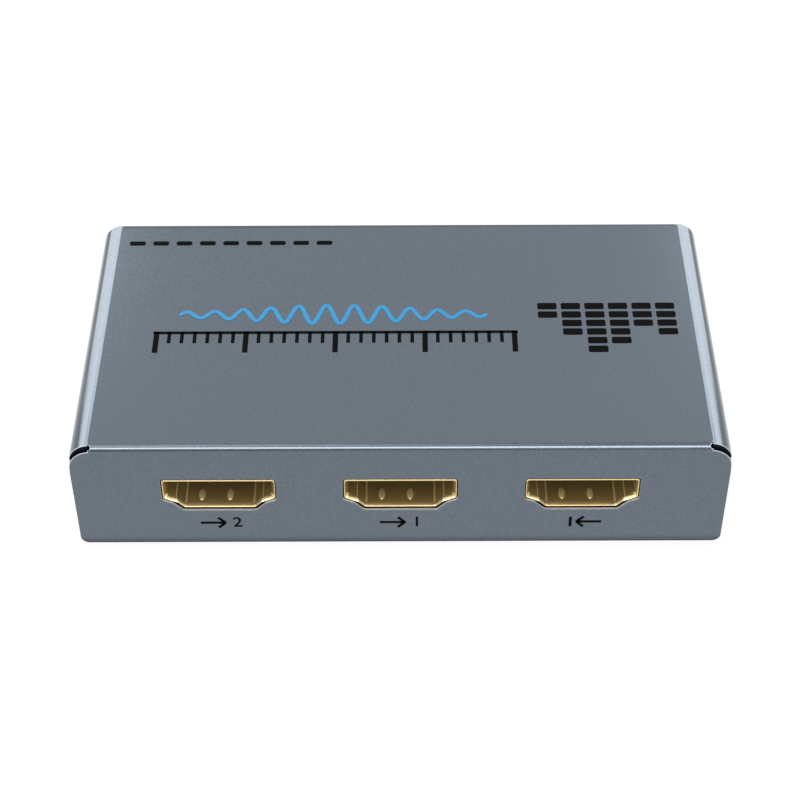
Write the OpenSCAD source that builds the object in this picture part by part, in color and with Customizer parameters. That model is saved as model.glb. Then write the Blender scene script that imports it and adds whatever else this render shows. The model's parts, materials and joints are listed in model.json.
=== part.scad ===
// Small steel box that splits a video signal and takes its sound out.
// The video sockets are in the front (-Y). The sound outputs, mode switch and power are in the rear (+Y).
// Millimetres. The origin is under the middle of the box, on the surface that it stands on.

/* [Case] */
// Width of the case
case_w = 87; // [86:0.5:110]
// Depth of the case, from the video face to the sound face
case_d = 46.4; // [45:0.2:60]
// Height of the case without its feet
case_h = 18.3; // [17:0.1:26]
// Thickness of the cover's sheet
sheet_t = 0.8; // [0.6:0.1:1]
// Outer radius of the bends along the two sides
side_bend_r = 3; // [2:0.1:4]
// Inner radius of the bends along the front and the rear
end_bend_in_r = 0.1; // [0.1:0.1:0.6]
// Thickness of the bottom plate
bottom_t = 1.2; // [1.1:0.1:1.5]
// Thickness of the rubber feet
foot_t = 1.5; // [1:0.1:3]
// Radius of the rubber feet
foot_r = 4; // [3:0.1:5]

/* [Board] */
// Thickness of the circuit board
board_t = 1.6; // [1.2:0.1:1.8]
// Room between the tallest socket and the cover
socket_headroom = 0.45; // [0.2:0.05:1]

/* [Video sockets] */
// Distance between the middles of neighbouring video sockets
video_pitch = 24.2; // [18:0.1:25]
// Width of the opening
throat_w = 14; // [13.6:0.1:14.4]
// Height of the opening
throat_h = 4.55; // [4.5:0.05:5]
// Length of the shell
shell_l = 10.6; // [9.5:0.1:11.5]
// Thickness of the shell's sheet
shell_t = 0.33; // [0.25:0.01:0.4]

/* [Optical socket] */
// Width of the housing
optical_w = 9.7; // [9.4:0.1:11]
// Height of the housing
optical_h = 10.2; // [10:0.1:10.8]
// Depth of the housing
optical_d = 13.5; // [13:0.1:14.5]
// Width of the mouth
mouth_w = 6.6; // [6:0.1:6.8]
// Height of the mouth
mouth_h = 6.4; // [6:0.1:6.5]

/* [Sound jack] */
// Radius of the bore
jack_bore_r = 1.8; // [1.77:0.01:1.9]
// Width of the body
jack_w = 6.8; // [6.6:0.1:8]
// Length of the body
jack_l = 11.6; // [11:0.1:12.5]

/* [Power socket] */
// Radius of the centre pin
power_pin_r = 1.05; // [0.6:0.05:1.3]
// Radius of the bore
power_bore_r = 3.05; // [2.9:0.05:3.2]
// Width of the body
power_w = 9; // [8.8:0.1:10]
// Height of the body
power_h = 10.4; // [10.2:0.1:10.8]
// Length of the body
power_l = 13.4; // [12.5:0.1:14]

/* [Mode switch] */
// Distance from one position of the knob to the next
switch_step = 2; // [1.5:0.1:2.2]
// How far the knob stands out of the case
knob_out = 1.2; // [0.8:0.1:2.5]
// Width of the frame
switch_w = 10.6; // [10.4:0.1:12]

/* [Hidden] */
$fn = 64;

// Colours
paint_grey = [0.43, 0.47, 0.50];
steel = [0.72, 0.73, 0.74];
gold = [0.83, 0.64, 0.27];
black = [0.06, 0.06, 0.065];
board_green = [0.05, 0.26, 0.14];
chip_black = [0.10, 0.10, 0.11];
tin = [0.80, 0.80, 0.79];

// Running and seating clearances, and the overrun of every cut
cut = 1;
fit_gap = 0.02;
loose_gap = 0.1;
run_gap = 0.05;

// Levels and faces of the case
mid_y = -knob_out / 2;
front_y = mid_y - case_d / 2;
rear_y = mid_y + case_d / 2;
base_z = foot_t;
inner_w = case_w - 2 * sheet_t;
inner_d = case_d - 2 * sheet_t;
end_bend_r = end_bend_in_r + sheet_t;
standoff_h = case_h - sheet_t - socket_headroom - max(optical_h, power_h) - board_t - bottom_t;
board_z = base_z + bottom_t + standoff_h;
board_top = board_z + board_t;

// Relief slots at the four upper corners, and the seams down the corners
slot_setback = 0.45;
slot_drop = 0.85;
slot_w = 0.72;
slot_end_offset = 0.26;
seam = 0.15;
slot_x = case_w / 2 - side_bend_r + slot_end_offset;
flange_corner_r = 1.15;

// Tabs that the cover screws hold
tab_w = 8;
tab_l = 7;
tab_z = base_z + bottom_t + run_gap;
screw_x = inner_w / 2 - tab_l / 2;
nut_r = 2.5;
nut_h = 1.6;
nut_shank_r = 1.9;

// Cover screws and board screws
screw_r = 1.25;
screw_l = 4.4;
screw_head_r = 2.25;
recess_w = 0.6;
recess_share = 0.62;
recess_depth_share = 0.6;
pan_head_h = 1.5;
pan_head_edge = 0.5;

// Bottom plate, standoffs and feet
plate_gap = 0.15;
standoff_r = 2.5;
spigot_r = 2;
foot_inset_x = 11;
foot_inset_y = 11.2;
foot_edge = 0.4;

// Board
board_side_gap = 1;
board_end_gap = 0.45;
board_w = inner_w - 2 * board_side_gap;
board_d = inner_d - 2 * board_end_gap;
standoff_inset = 3.4;
standoff_x = board_w / 2 - standoff_inset;
standoff_y = board_d / 2 - standoff_inset;
board_hole_r = screw_r + loose_gap;
board_screw_gap = 1.05;
board_screw_l = board_t + standoff_h - board_screw_gap;
tab_gap = 3.05;
tab_y = standoff_y - standoff_r - tab_gap - tab_w / 2;
notch_gap = 0.4;
tail_proud = 0.6;

// Video socket: the opening, seen along +Y with its floor at zero
throat_floor_w = 9.2;
throat_shoulder_w = 11.6;
throat_shoulder_z = 1.2;
throat_side_z = 1.75;
lip_y = 0.3;
flare_d = 0.55;
lip_side = 0.42;
lip_bottom = 0.25;
lip_top = 0.08;
lip_edge = 0.08;
window_gap_bottom = 0.68;
window_gap_side = 0.65;
window_gap_top = 0.77;
window_corner_r = 0.55;
window_steps = 5;
throat_corner_r = 0.35;
throat_steps = 4;
finger_r = 0.42;
finger_l = 2;
finger_y = 1.05;
finger_proud = 0.2;
finger_pitch = 3.8;
finger_offset = -0.6;
roof_finger_pitch = 5.4;
leg_w = 1;
leg_y1 = 3;
leg_y2 = 8.6;
leg_gap = 0.15;
tongue_y = 3;
tongue_z = 1.95;
tongue_t = 1.5;
tongue_w = 11.9;
tongue_edge = 0.3;
insulator_l = 3.4;
contact_pitch = 1;
contact_w = 0.28;
contact_t = 0.15;
contact_proud = 0.03;
contact_setback = 0.5;
contact_foot = 0.9;
upper_contacts = 10;
lower_contacts = 9;
throat = [
    [-throat_floor_w / 2, 0], [throat_floor_w / 2, 0], [throat_shoulder_w / 2, throat_shoulder_z],
    [throat_w / 2, throat_side_z], [throat_w / 2, throat_h], [-throat_w / 2, throat_h],
    [-throat_w / 2, throat_side_z], [-throat_shoulder_w / 2, throat_shoulder_z]
];
video_x = [-video_pitch, 0, video_pitch];
tail_y = lip_y + shell_l + loose_gap;

// Rear sockets: places across the case, as shares of half its width or beside the board screws
optical_place_share = -0.27;
switch_place_share = 0.16;
light_place_share = 0.46;
optical_x = optical_place_share * case_w / 2;
jack_side_gap = 2.2;
jack_x = -(standoff_x - screw_head_r - jack_side_gap - jack_w / 2);
power_side_gap = 0.7;
power_x = standoff_x - screw_head_r - power_side_gap - power_w / 2;
switch_x = switch_place_share * case_w / 2;
light_x = light_place_share * case_w / 2;
window_gap = 0.2;
behind_wall = sheet_t + loose_gap;

// Optical socket
optical_face = 0.15;
optical_frame_t = 0.9;
mouth_z = 1.7;
mouth_chamfer = 1.2;
chamber_w = 7.4;
chamber_d = 8.6;
chamber_lip = 0.3;
optical_roof_t = 0.75;
fibre_hole_r = 1.6;
optical_wall_t = 1.1;
pocket_w = 7;
pocket_h = 8;
optical_peg_r = 0.8;
optical_peg_place_share = 0.3;
flap_t = 0.8;
flap_side_gap = 0.2;
hinge_r = 0.55;
hinge_pin_r = 0.35;
hinge_roof_gap = 0.12;
hinge_face_gap = 0.12;
coil_r = 0.52;
coil_wire_r = 0.1;
coil_turns = 5;
coil_pitch = 0.24;
coil_gap = 0.2;
coil_leg = 1.6;
coil_steps = 8;
wire_sides = 6;
emitter_w = 4.8;
emitter_h = 4.6;
emitter_d = 1.9;
emitter_lens_r = 1.3;
emitter_lens_l = 0.8;
rear_cover_t = 0.7;
lead_w = 0.45;
lead_pitch = 1.27;
optical_front = optical_face + optical_frame_t;
optical_back = optical_front + chamber_d;
optical_end = optical_face + optical_d;
pocket_y = optical_back + optical_wall_t;
chamber_top = optical_h - optical_roof_t;
hinge_y = optical_front + hinge_face_gap + hinge_r;
hinge_z = chamber_top - hinge_roof_gap - hinge_r;
notch_w = coil_turns * coil_pitch + 2 * coil_wire_r + 2 * coil_gap;
mouth_mid_z = mouth_z + mouth_h / 2;
emitter_y = optical_end - rear_cover_t - emitter_d;

// Sound jack
jack_z = 3.2;
jack_h = 6.2;
jack_nose_r = 2.9;
jack_face = 0.1;
jack_flange_t = 0.4;
ferrule_t = 0.45;
ferrule_l = 3.4;
jack_bore_l = 10.4;
leaf_t = 0.25;
leaf_w = 1.6;
leaf_in = 0.12;
leaf_top = 1.1;
leaf_travel = 0.3;
leaf_tip_y = 9;
leaf_ring_y = 6.2;
leaf_sleeve_y = 2.6;

// Power socket
power_z = 6;
power_face = 0.1;
power_nose_r = 4;
power_bore_l = 9.2;
power_pin_setback = 0.9;
power_shank_r = 0.8;
power_head_r = 1.9;
power_head_t = 0.5;
power_blade_w = 2;
power_leaf_t = 0.3;
power_leaf_w = 2.2;
power_leaf_in = 0.15;
power_leaf_y = 4;
power_leaf_l = 4.6;
power_slot_gap = 0.15;

// Mode switch
switch_setback = 0.2;
switch_d = 4.2;
switch_h = 5.2;
can_t = 0.35;
knob_z = 2.7;
stem_w = 2;
stem_h = 2;
stem_edge = 0.3;
carriage_w = 4.6;
carriage_h = 3.4;
carriage_d = 1.9;
stroke_gap = 0.25;
wiper_t = 0.25;
wiper_w = 3.4;
wiper_h = 2.4;
bump_r = 0.35;
switch_base_t = 0.9;
terminal_w = 0.9;
terminal_t = 0.3;
terminal_count = 4;
switch_leg_w = 1;
switch_front = sheet_t + switch_setback;
switch_back = switch_front + switch_d;
carriage_y = switch_front + can_t + loose_gap;
wiper_y = carriage_y + carriage_d;
switch_base_y = switch_back - switch_base_t;

// Power light
light_r = 1.5;
light_z = 3;
light_face = 0.1;
light_body_l = 3.6;
light_flange_r = 1.9;
light_flange_t = 0.9;
light_lead_l = 1.6;

// Chips and other parts of the board
splitter_w = 14;
splitter_h = 1;
pad_t = 0.5;
sink_h = 6;
sink_base_h = 1.6;
sink_fins = 6;
fin_t = 0.9;
sound_chip_w = 7;
sound_chip_h = 1.2;
chip_lift = 0.12;
chip_edge = 0.3;
gull_w = 0.3;
gull_t = 0.15;
gull_reach = 1;
gull_foot = 0.5;
gull_pitch = 0.8;
gull_per_side = 8;
controller_w = 4.9;
controller_d = 3.9;
controller_h = 1.4;
controller_pitch = 1.27;
controller_per_side = 4;
regulator_w = 6.5;
regulator_d = 3.5;
regulator_h = 1.6;
regulator_tab_w = 3;
regulator_tab_l = 1.7;
regulator_lead_w = 0.75;
regulator_pitch = 2.3;
regulator_lead_t = 0.3;
inductor_w = 6;
inductor_h = 3;
inductor_corner = 1.4;
inductor_core_r = 2.2;
inductor_core_h = 0.3;
can_r = 2.5;
can_h = 4.8;
can_edge = 0.3;
can_base_w = 5.3;
can_base_h = 0.7;
can_base_corner = 1;
small_l = 1.6;
small_w = 0.8;
capacitor_h = 0.8;
resistor_h = 0.45;
capacitors_per_side = 5;
capacitor_gap = 0.9;
resistors_per_socket = 6;
resistor_pitch = 1.7;
resistor_behind = 3.4;
resistor_y = tail_y + contact_foot + resistor_behind - small_l;
crystal_l = 11.2;
crystal_w = 4.6;
crystal_h = 3.4;
array_l = 2.5;
array_w = 1;
array_h = 0.6;
array_behind = 1.5;
array_spread = 4;

// Places on the board: across from the middle, and back from the video face, in one row behind the sockets
splitter_place_share = 0.04;
splitter_gap = 0.8;
row_gap = 0.4;
part_gap = 0.5;
row_y = resistor_y + small_l + row_gap;
splitter_x = splitter_place_share * board_w;
splitter_side = splitter_w / 2 + capacitor_gap + small_l;
splitter_place = [splitter_x, resistor_y + small_l + splitter_gap + splitter_w / 2];
controller_x = splitter_x + splitter_side + part_gap + controller_w / 2;
controller_place = [controller_x, row_y + gull_reach + controller_d / 2];
regulator_x = controller_x + controller_w / 2 + part_gap + regulator_w / 2;
regulator_half = regulator_d / 2 + regulator_tab_l;
regulator_place = [regulator_x, row_y + regulator_half];
sound_chip_x = splitter_x - splitter_side - part_gap - gull_reach - sound_chip_w / 2;
sound_chip_place = [sound_chip_x, row_y + gull_reach + sound_chip_w / 2];
crystal_x = sound_chip_x - sound_chip_w / 2 - gull_reach - part_gap - crystal_l / 2;
crystal_place = [crystal_x, row_y + crystal_w / 2];
inductor_places = [
    [regulator_x + (regulator_w + inductor_w) / 2 + part_gap, row_y + inductor_w / 2],
    [crystal_x, row_y + crystal_w + row_gap + inductor_w / 2]
];
can_places = [
    [regulator_x, row_y + 2 * regulator_half + row_gap + can_base_w / 2],
    [crystal_x - (crystal_l + can_base_w) / 2 - part_gap, row_y + can_base_w / 2],
    [-video_pitch / 2, leg_y2]
];

function unit(v) = v / norm(v);
function outward(a, b) = let (d = unit(b - a)) [d.y, -d.x];
function wrap(list, i) = list[(i + len(list)) % len(list)];

// Moves each side of a counter-clockwise outline outwards, by that side's own distance
function grown(pts, by) = [
    for (i = [0 : len(pts) - 1])
        let (
            m = outward(wrap(pts, i - 1), pts[i]),
            n = outward(pts[i], wrap(pts, i + 1)),
            c = m * n
        )
        pts[i] + (wrap(by, i - 1) * (m - c * n) + by[i] * (n - c * m)) / (1 - c * c)
];

// Distances for the eight sides of the video socket's outline
function sides(bottom, side, top) = [bottom, bottom, side, side, top, side, side, bottom];
function evenly(by) = sides(by, by, by);

// Rounds every corner of an outline
function rounded(pts, r, steps) = [
    for (i = [0 : len(pts) - 1])
        let (
            m = unit(wrap(pts, i - 1) - pts[i]),
            n = unit(wrap(pts, i + 1) - pts[i]),
            half = acos(m * n) / 2,
            centre = pts[i] + unit(m + n) * r / sin(half),
            from = pts[i] + m * r / tan(half) - centre,
            to = pts[i] + n * r / tan(half) - centre,
            turn = 180 - 2 * half
        )
        for (k = [0 : steps])
            centre + (from * sin(turn * (1 - k / steps)) + to * sin(turn * k / steps)) / sin(turn)
];

// Outline of the video socket's tube and lip, moved outwards by the distances of its sides
function tube(by) = rounded(grown(throat, by), throat_corner_r, throat_steps);

// Extrudes an outline in X and Z along Y, and one in Y and Z along X
module along_y(y0, y1) translate([0, y1, 0]) rotate([90, 0, 0]) linear_extrude(y1 - y0) children();
module along_x(x0, x1) translate([x0, 0, 0]) rotate([90, 0, 90]) linear_extrude(x1 - x0) children();

// Block with its low and high corners given, and one centred on X
module block(low, high) translate(low) cube(high - low);
module bar(w, y0, y1, z0, z1) block([-w / 2, y0, z0], [w / 2, y1, z1]);

// Cylinders along Y and along X
module rod_y(r, y0, y1) translate([0, y1, 0]) rotate([90, 0, 0]) cylinder(r = r, h = y1 - y0);
module rod_x(r, x0, x1) translate([x0, 0, 0]) rotate([0, 90, 0]) cylinder(r = r, h = x1 - x0);

// Children stand at a place on the front or the rear face: Y runs into the case, Z up from the board
module at_front(x) translate([x, front_y, board_top]) children();
module at_rear(x) translate([x, rear_y, board_top]) rotate([0, 0, 180]) children();

// Children stand on the board, at a place across from its middle and back from the video face
module on_board(place) translate([place.x, front_y + place.y, board_top]) children();

// Children at all four corners of a rectangle about the middle of the case
module at_corners(x, y) for (sx = [-1, 1], sy = [-1, 1]) translate([sx * x, mid_y + sy * y, 0]) children();

// Upright outline with both upper corners rounded
module arch_outline(w, h, r) {
    translate([-w / 2, 0]) square([w, h - r]);
    translate([-w / 2 + r, 0]) square([w - 2 * r, h]);
    for (s = [-1, 1]) translate([s * (w / 2 - r), h - r]) circle(r);
}

// Front and rear flange: a plate with small lower corners and upper corners that tuck under the side bends
module flange_outline() {
    lobe_z = case_h - side_bend_r - slot_drop;
    translate([-case_w / 2, flange_corner_r]) square([case_w, lobe_z - flange_corner_r]);
    translate([-case_w / 2 + flange_corner_r, 0]) square([case_w - 2 * flange_corner_r, lobe_z]);
    translate([-slot_x, 0]) square([2 * slot_x, case_h - end_bend_r]);
    for (s = [-1, 1]) {
        translate([s * (case_w / 2 - flange_corner_r), flange_corner_r]) circle(flange_corner_r);
        translate([s * (case_w / 2 - side_bend_r), lobe_z]) circle(side_bend_r);
    }
}

// What the side shell leaves free for one flange and the seam behind it
module flange_room() {
    lobe_z = case_h - side_bend_r - slot_drop;
    along_y(-cut, sheet_t + seam) {
        translate([-case_w / 2 - cut, -cut]) square([case_w + 2 * cut, lobe_z + cut]);
        for (s = [-1, 1]) translate([s * (case_w / 2 - side_bend_r), lobe_z]) circle(side_bend_r + seam);
    }
    bar(2 * slot_x, -cut, end_bend_r, -cut, case_h + cut);
}

// Top and both sides, bent along the sides
module side_shell() difference() {
    along_y(front_y + slot_setback, rear_y - slot_setback) arch_outline(case_w, case_h, side_bend_r);
    along_y(front_y - cut, rear_y + cut) translate([0, -cut])
        arch_outline(inner_w, case_h - sheet_t + cut, side_bend_r - sheet_t);
    translate([0, front_y, 0]) flange_room();
    translate([0, rear_y, 0]) rotate([0, 0, 180]) flange_room();
}

// Front flange, top and rear flange in one bent strip between the relief slots
module end_strip() difference() {
    along_x(-slot_x, slot_x) translate([mid_y, 0]) difference() {
        arch_outline(case_d, case_h, end_bend_r);
        translate([0, -cut]) arch_outline(inner_d, case_h - sheet_t + cut, end_bend_in_r);
    }
    for (sx = [-1, 1], sy = [-1, 1])
        translate([sx * slot_x, mid_y + sy * case_d / 2, case_h]) rotate([-sy * 45, 0, 0])
            cylinder(r = slot_w / 2, h = 4 * end_bend_r, center = true);
}

module flange_plates() {
    along_y(front_y, front_y + sheet_t) flange_outline();
    along_y(rear_y - sheet_t, rear_y) flange_outline();
}

module video_window() along_y(-cut, sheet_t + cut)
    polygon(rounded(
        grown(throat, sides(window_gap_bottom, window_gap_side, window_gap_top)),
        window_corner_r, window_steps
    ));

module top_cover() color(paint_grey) difference() {
    translate([0, 0, base_z]) difference() {
        union() {
            side_shell();
            end_strip();
            flange_plates();
            for (sx = [-1, 1], sy = [-1, 1])
                translate([sx * screw_x, mid_y + sy * tab_y, tab_z - base_z])
                    bar(tab_l + 2 * fit_gap, -tab_w / 2, tab_w / 2, 0, sheet_t);
        }
        at_corners(screw_x, tab_y) translate([0, 0, -cut])
            cylinder(r = nut_shank_r + fit_gap, h = case_h / 2);
    }
    for (x = video_x) at_front(x) translate([0, 0, shell_t]) video_window();
    at_rear(optical_x) bar(
        optical_w + 2 * window_gap, -cut, sheet_t + cut, -window_gap, optical_h + window_gap
    );
    at_rear(jack_x) translate([0, 0, jack_z]) rod_y(jack_nose_r + window_gap, -cut, sheet_t + cut);
    at_rear(power_x) translate([0, 0, power_z]) rod_y(power_nose_r + window_gap, -cut, sheet_t + cut);
    at_rear(light_x) translate([0, 0, light_z]) rod_y(light_r + window_gap, -cut, sheet_t + cut);
    at_rear(switch_x) bar(
        stem_w + 2 * switch_step + 2 * stroke_gap, -cut, sheet_t + cut,
        knob_z - stem_h / 2 - stroke_gap, knob_z + stem_h / 2 + stroke_gap
    );
}

module bottom_plate() color(paint_grey) difference() {
    translate([-inner_w / 2 + plate_gap, mid_y - inner_d / 2 + plate_gap, base_z])
        cube([inner_w - 2 * plate_gap, inner_d - 2 * plate_gap, bottom_t]);
    at_corners(screw_x, tab_y) translate([0, 0, base_z]) {
        translate([0, 0, -cut]) cylinder(r = screw_r + loose_gap, h = bottom_t + 2 * cut);
        cylinder(r1 = screw_head_r + fit_gap, r2 = screw_r + fit_gap, h = screw_head_r - screw_r);
    }
    at_corners(standoff_x, standoff_y) translate([0, 0, base_z - cut])
        cylinder(r = spigot_r + fit_gap, h = bottom_t + 2 * cut);
}

module cover_nuts() color(steel) at_corners(screw_x, tab_y) translate([0, 0, tab_z]) difference() {
    union() {
        cylinder(r = nut_shank_r, h = sheet_t);
        translate([0, 0, sheet_t]) cylinder(r = nut_r, h = nut_h);
    }
    translate([0, 0, -cut]) cylinder(r = screw_r + run_gap, h = sheet_t + nut_h + 2 * cut);
}

// Cross recess in a screw head, cut downwards from zero
module cross_recess(head_r, depth) for (turn = [0, 90]) rotate([0, 0, turn])
    translate([-head_r * recess_share, -recess_w / 2, -depth])
        cube([2 * head_r * recess_share, recess_w, depth + cut]);

module cover_screws() color(steel) at_corners(screw_x, tab_y) translate([0, 0, base_z]) difference() {
    head_h = screw_head_r - screw_r;
    rotate_extrude() polygon([
        [0, 0], [screw_head_r, 0], [screw_r, head_h], [screw_r, screw_l - screw_r / 2],
        [screw_r / 2, screw_l], [0, screw_l]
    ]);
    mirror([0, 0, 1]) cross_recess(screw_head_r, head_h * recess_depth_share);
}

module rubber_feet() color(black) at_corners(case_w / 2 - foot_inset_x, case_d / 2 - foot_inset_y)
    rotate_extrude() polygon([
        [0, 0], [foot_r - foot_edge, 0], [foot_r, foot_edge], [foot_r, foot_t], [0, foot_t]
    ]);

module board_standoffs() color(steel) at_corners(standoff_x, standoff_y) difference() {
    union() {
        translate([0, 0, base_z]) cylinder(r = spigot_r, h = bottom_t);
        translate([0, 0, base_z + bottom_t]) cylinder(r = standoff_r, h = standoff_h);
    }
    translate([0, 0, base_z + bottom_t]) cylinder(r = screw_r + run_gap, h = standoff_h + cut);
}

module board_screws() color(steel) at_corners(standoff_x, standoff_y) translate([0, 0, board_top])
    difference() {
        rotate_extrude() polygon([
            [0, -board_screw_l], [screw_r / 2, -board_screw_l], [screw_r, -board_screw_l + screw_r / 2],
            [screw_r, 0], [screw_head_r, 0], [screw_head_r, pan_head_h - pan_head_edge],
            [screw_head_r - pan_head_edge, pan_head_h], [0, pan_head_h]
        ]);
        translate([0, 0, pan_head_h]) cross_recess(screw_head_r, pan_head_h * recess_depth_share);
    }

module main_board() color(board_green) difference() {
    translate([-board_w / 2, mid_y - board_d / 2, board_z]) cube([board_w, board_d, board_t]);
    at_corners(standoff_x, standoff_y) translate([0, 0, board_z - cut])
        cylinder(r = board_hole_r, h = board_t + 2 * cut);
    at_corners(screw_x, tab_y) translate([0, 0, board_z - cut]) linear_extrude(board_t + 2 * cut)
        square([tab_l + 2 * notch_gap, tab_w + 2 * notch_gap], center = true);
    for (x = video_x, y = [leg_y1, leg_y2], s = [-1, 1]) at_front(x)
        translate([s * (throat_w + shell_t) / 2, y, 0])
            hole_block(shell_t + 2 * leg_gap, leg_w + 2 * leg_gap);
    at_rear(optical_x) {
        for (s = [-1, 1]) translate([s * optical_w * optical_peg_place_share, optical_peg_y(), 0])
            hole_rod(optical_peg_r + loose_gap);
        for (i = [-1 : 1]) translate([i * lead_pitch, emitter_y + emitter_d / 2, 0])
            hole_block(lead_w + 2 * loose_gap, lead_w + 2 * loose_gap);
    }
    at_rear(jack_x) for (leaf = jack_leaves)
        translate([leaf[0] * (leaf[2] + leaf_t / 2), leaf[1], 0])
            hole_block(leaf_t + 2 * loose_gap, leaf_w + 2 * loose_gap);
    at_rear(power_x) {
        translate([0, power_blade_y(), 0])
            hole_block(power_blade_w + 2 * loose_gap, power_head_t + 2 * loose_gap);
        translate([0, power_leaf_end() + power_leaf_t / 2, 0])
            hole_block(power_leaf_w + 2 * loose_gap, power_leaf_t + 2 * loose_gap);
    }
    at_rear(switch_x) {
        for (i = [0 : terminal_count - 1]) translate([terminal_x(i), terminal_y(), 0])
            hole_block(terminal_w + 2 * loose_gap, terminal_t + 2 * loose_gap);
        for (s = [-1, 1]) translate([s * (switch_w - can_t) / 2, switch_front + switch_d / 2, 0])
            hole_block(can_t + 2 * loose_gap, switch_leg_w + 2 * loose_gap);
    }
    at_rear(light_x) for (s = [-1, 1]) translate([s * lead_pitch, light_lead_y(), 0])
        hole_block(lead_w + 2 * loose_gap, lead_w + 2 * loose_gap);
}

// Holes through the board, centred on X and Y
module hole_block(w, l) translate([-w / 2, -l / 2, -board_t - cut]) cube([w, l, board_t + 2 * cut]);
module hole_rod(r) translate([0, 0, -board_t - cut]) cylinder(r = r, h = board_t + 2 * cut);

// Places along Y of the rear sockets' tails
function optical_peg_y() = optical_front + chamber_d / 3;
function power_blade_y() = behind_wall + power_l + power_head_t / 2;
function power_leaf_end() = behind_wall + power_leaf_y + power_leaf_l;
function terminal_y() = switch_base_y + terminal_t / 2;
function terminal_x(i) = (i - (terminal_count - 1) / 2) * switch_step;
function light_lead_y() = light_flange_y() + light_flange_t + light_lead_l;
function light_flange_y() = behind_wall + light_body_l;

// Ring of wall between two outlines, the first pair at the front and the second at the back
module flared_ring(front_in, front_out, back_out, back_in, y0, y1, y2) {
    n = len(front_in);
    rings = [
        [for (p = front_in) [p.x, y0, p.y]], [for (p = front_out) [p.x, y0, p.y]],
        [for (p = back_out) [p.x, y1, p.y]], [for (p = back_out) [p.x, y2, p.y]],
        [for (p = back_in) [p.x, y2, p.y]], [for (p = back_in) [p.x, y1, p.y]]
    ];
    last = len(rings) - 1;
    polyhedron(
        points = [for (ring = rings, p = ring) p],
        faces = [
            for (r = [0 : last], i = [0 : n - 1])
                let (a = r * n + i, b = r * n + (i + 1) % n, q = (r == last ? 0 : r + 1) * n)
                [a, b, q + (i + 1) % n, q + i]
        ]
    );
}

// Rounded ridge of a spring finger, highest at its front end, standing up from zero
module finger() translate([0, finger_y, finger_proud - finger_r])
    rotate([atan(-finger_proud / finger_l), 0, 0]) {
        translate([0, finger_r, 0]) sphere(finger_r);
        rod_y(finger_r, finger_r, finger_l);
    }

module video_shell() color(gold) translate([0, 0, shell_t]) {
    difference() {
        along_y(lip_y + flare_d, lip_y + shell_l) polygon(tube(evenly(shell_t)));
        along_y(lip_y, lip_y + shell_l + cut) polygon(tube(evenly(0)));
    }
    flared_ring(
        tube(sides(lip_bottom, lip_side, lip_top)),
        tube(sides(lip_bottom + lip_edge, lip_side + lip_edge, shell_t)),
        tube(evenly(shell_t)), tube(evenly(0)),
        lip_y, lip_y + flare_d, lip_y + flare_d + shell_t
    );
    intersection() {
        union() {
            for (s = [-1, 1]) {
                translate([finger_offset + s * finger_pitch / 2, lip_y, 0]) finger();
                translate([s * roof_finger_pitch / 2, lip_y, throat_h]) mirror([0, 0, 1]) finger();
            }
        }
        bar(throat_w, 0, shell_l, -shell_t, throat_h + shell_t);
    }
    for (s = [-1, 1], y = [leg_y1, leg_y2])
        translate([s * (throat_w + shell_t) / 2, y, 0])
            translate([-shell_t / 2, -leg_w / 2, -shell_t - board_t - tail_proud])
                cube([shell_t, leg_w, shell_t + board_t + tail_proud + throat_side_z + 2 * shell_t]);
}

// Side view of one contact: strip along the tongue, tail behind the shell and foot on the board
module contact_outline(top) polygon([
    [tongue_y + contact_setback, top - contact_t], [tongue_y + contact_setback, top],
    [tail_y + contact_t, top], [tail_y + contact_t, contact_t], [tail_y + contact_foot, contact_t],
    [tail_y + contact_foot, 0], [tail_y, 0], [tail_y, top - contact_t]
]);
module contact_at(i, count) translate([(i - (count - 1) / 2) * contact_pitch, 0, 0]) children();
upper_top = shell_t + tongue_z + tongue_t + contact_proud;
lower_top = shell_t + tongue_z + contact_t - contact_proud;

module video_contacts() color(gold) {
    for (i = [0 : upper_contacts - 1]) contact_at(i, upper_contacts)
        along_x(-contact_w / 2, contact_w / 2) contact_outline(upper_top);
    for (i = [0 : lower_contacts - 1]) contact_at(i, lower_contacts)
        along_x(-contact_w / 2, contact_w / 2) contact_outline(lower_top);
}

// Channel for a contact in the insulator
module contact_channel(top) bar(
    contact_w + 2 * fit_gap, tongue_y + contact_setback - fit_gap, lip_y + shell_l + cut,
    top - contact_t - fit_gap, top + fit_gap
);

module video_insulator() color(black) difference() {
    translate([0, 0, shell_t]) {
        along_y(lip_y + shell_l - insulator_l, lip_y + shell_l) polygon(tube(evenly(-fit_gap)));
        along_x(-tongue_w / 2, tongue_w / 2) polygon([
            [tongue_y, tongue_z + tongue_edge], [tongue_y + tongue_edge, tongue_z],
            [lip_y + shell_l - insulator_l / 2, tongue_z],
            [lip_y + shell_l - insulator_l / 2, tongue_z + tongue_t],
            [tongue_y + tongue_edge, tongue_z + tongue_t], [tongue_y, tongue_z + tongue_t - tongue_edge]
        ]);
    }
    for (i = [0 : upper_contacts - 1]) contact_at(i, upper_contacts) contact_channel(upper_top);
    for (i = [0 : lower_contacts - 1]) contact_at(i, lower_contacts) contact_channel(lower_top);
}

module left_output_shell() at_front(video_x[0]) video_shell();
module left_output_insulator() at_front(video_x[0]) video_insulator();
module left_output_contacts() at_front(video_x[0]) video_contacts();
module middle_output_shell() at_front(video_x[1]) video_shell();
module middle_output_insulator() at_front(video_x[1]) video_insulator();
module middle_output_contacts() at_front(video_x[1]) video_contacts();
module input_shell() at_front(video_x[2]) video_shell();
module input_insulator() at_front(video_x[2]) video_insulator();
module input_contacts() at_front(video_x[2]) video_contacts();

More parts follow.
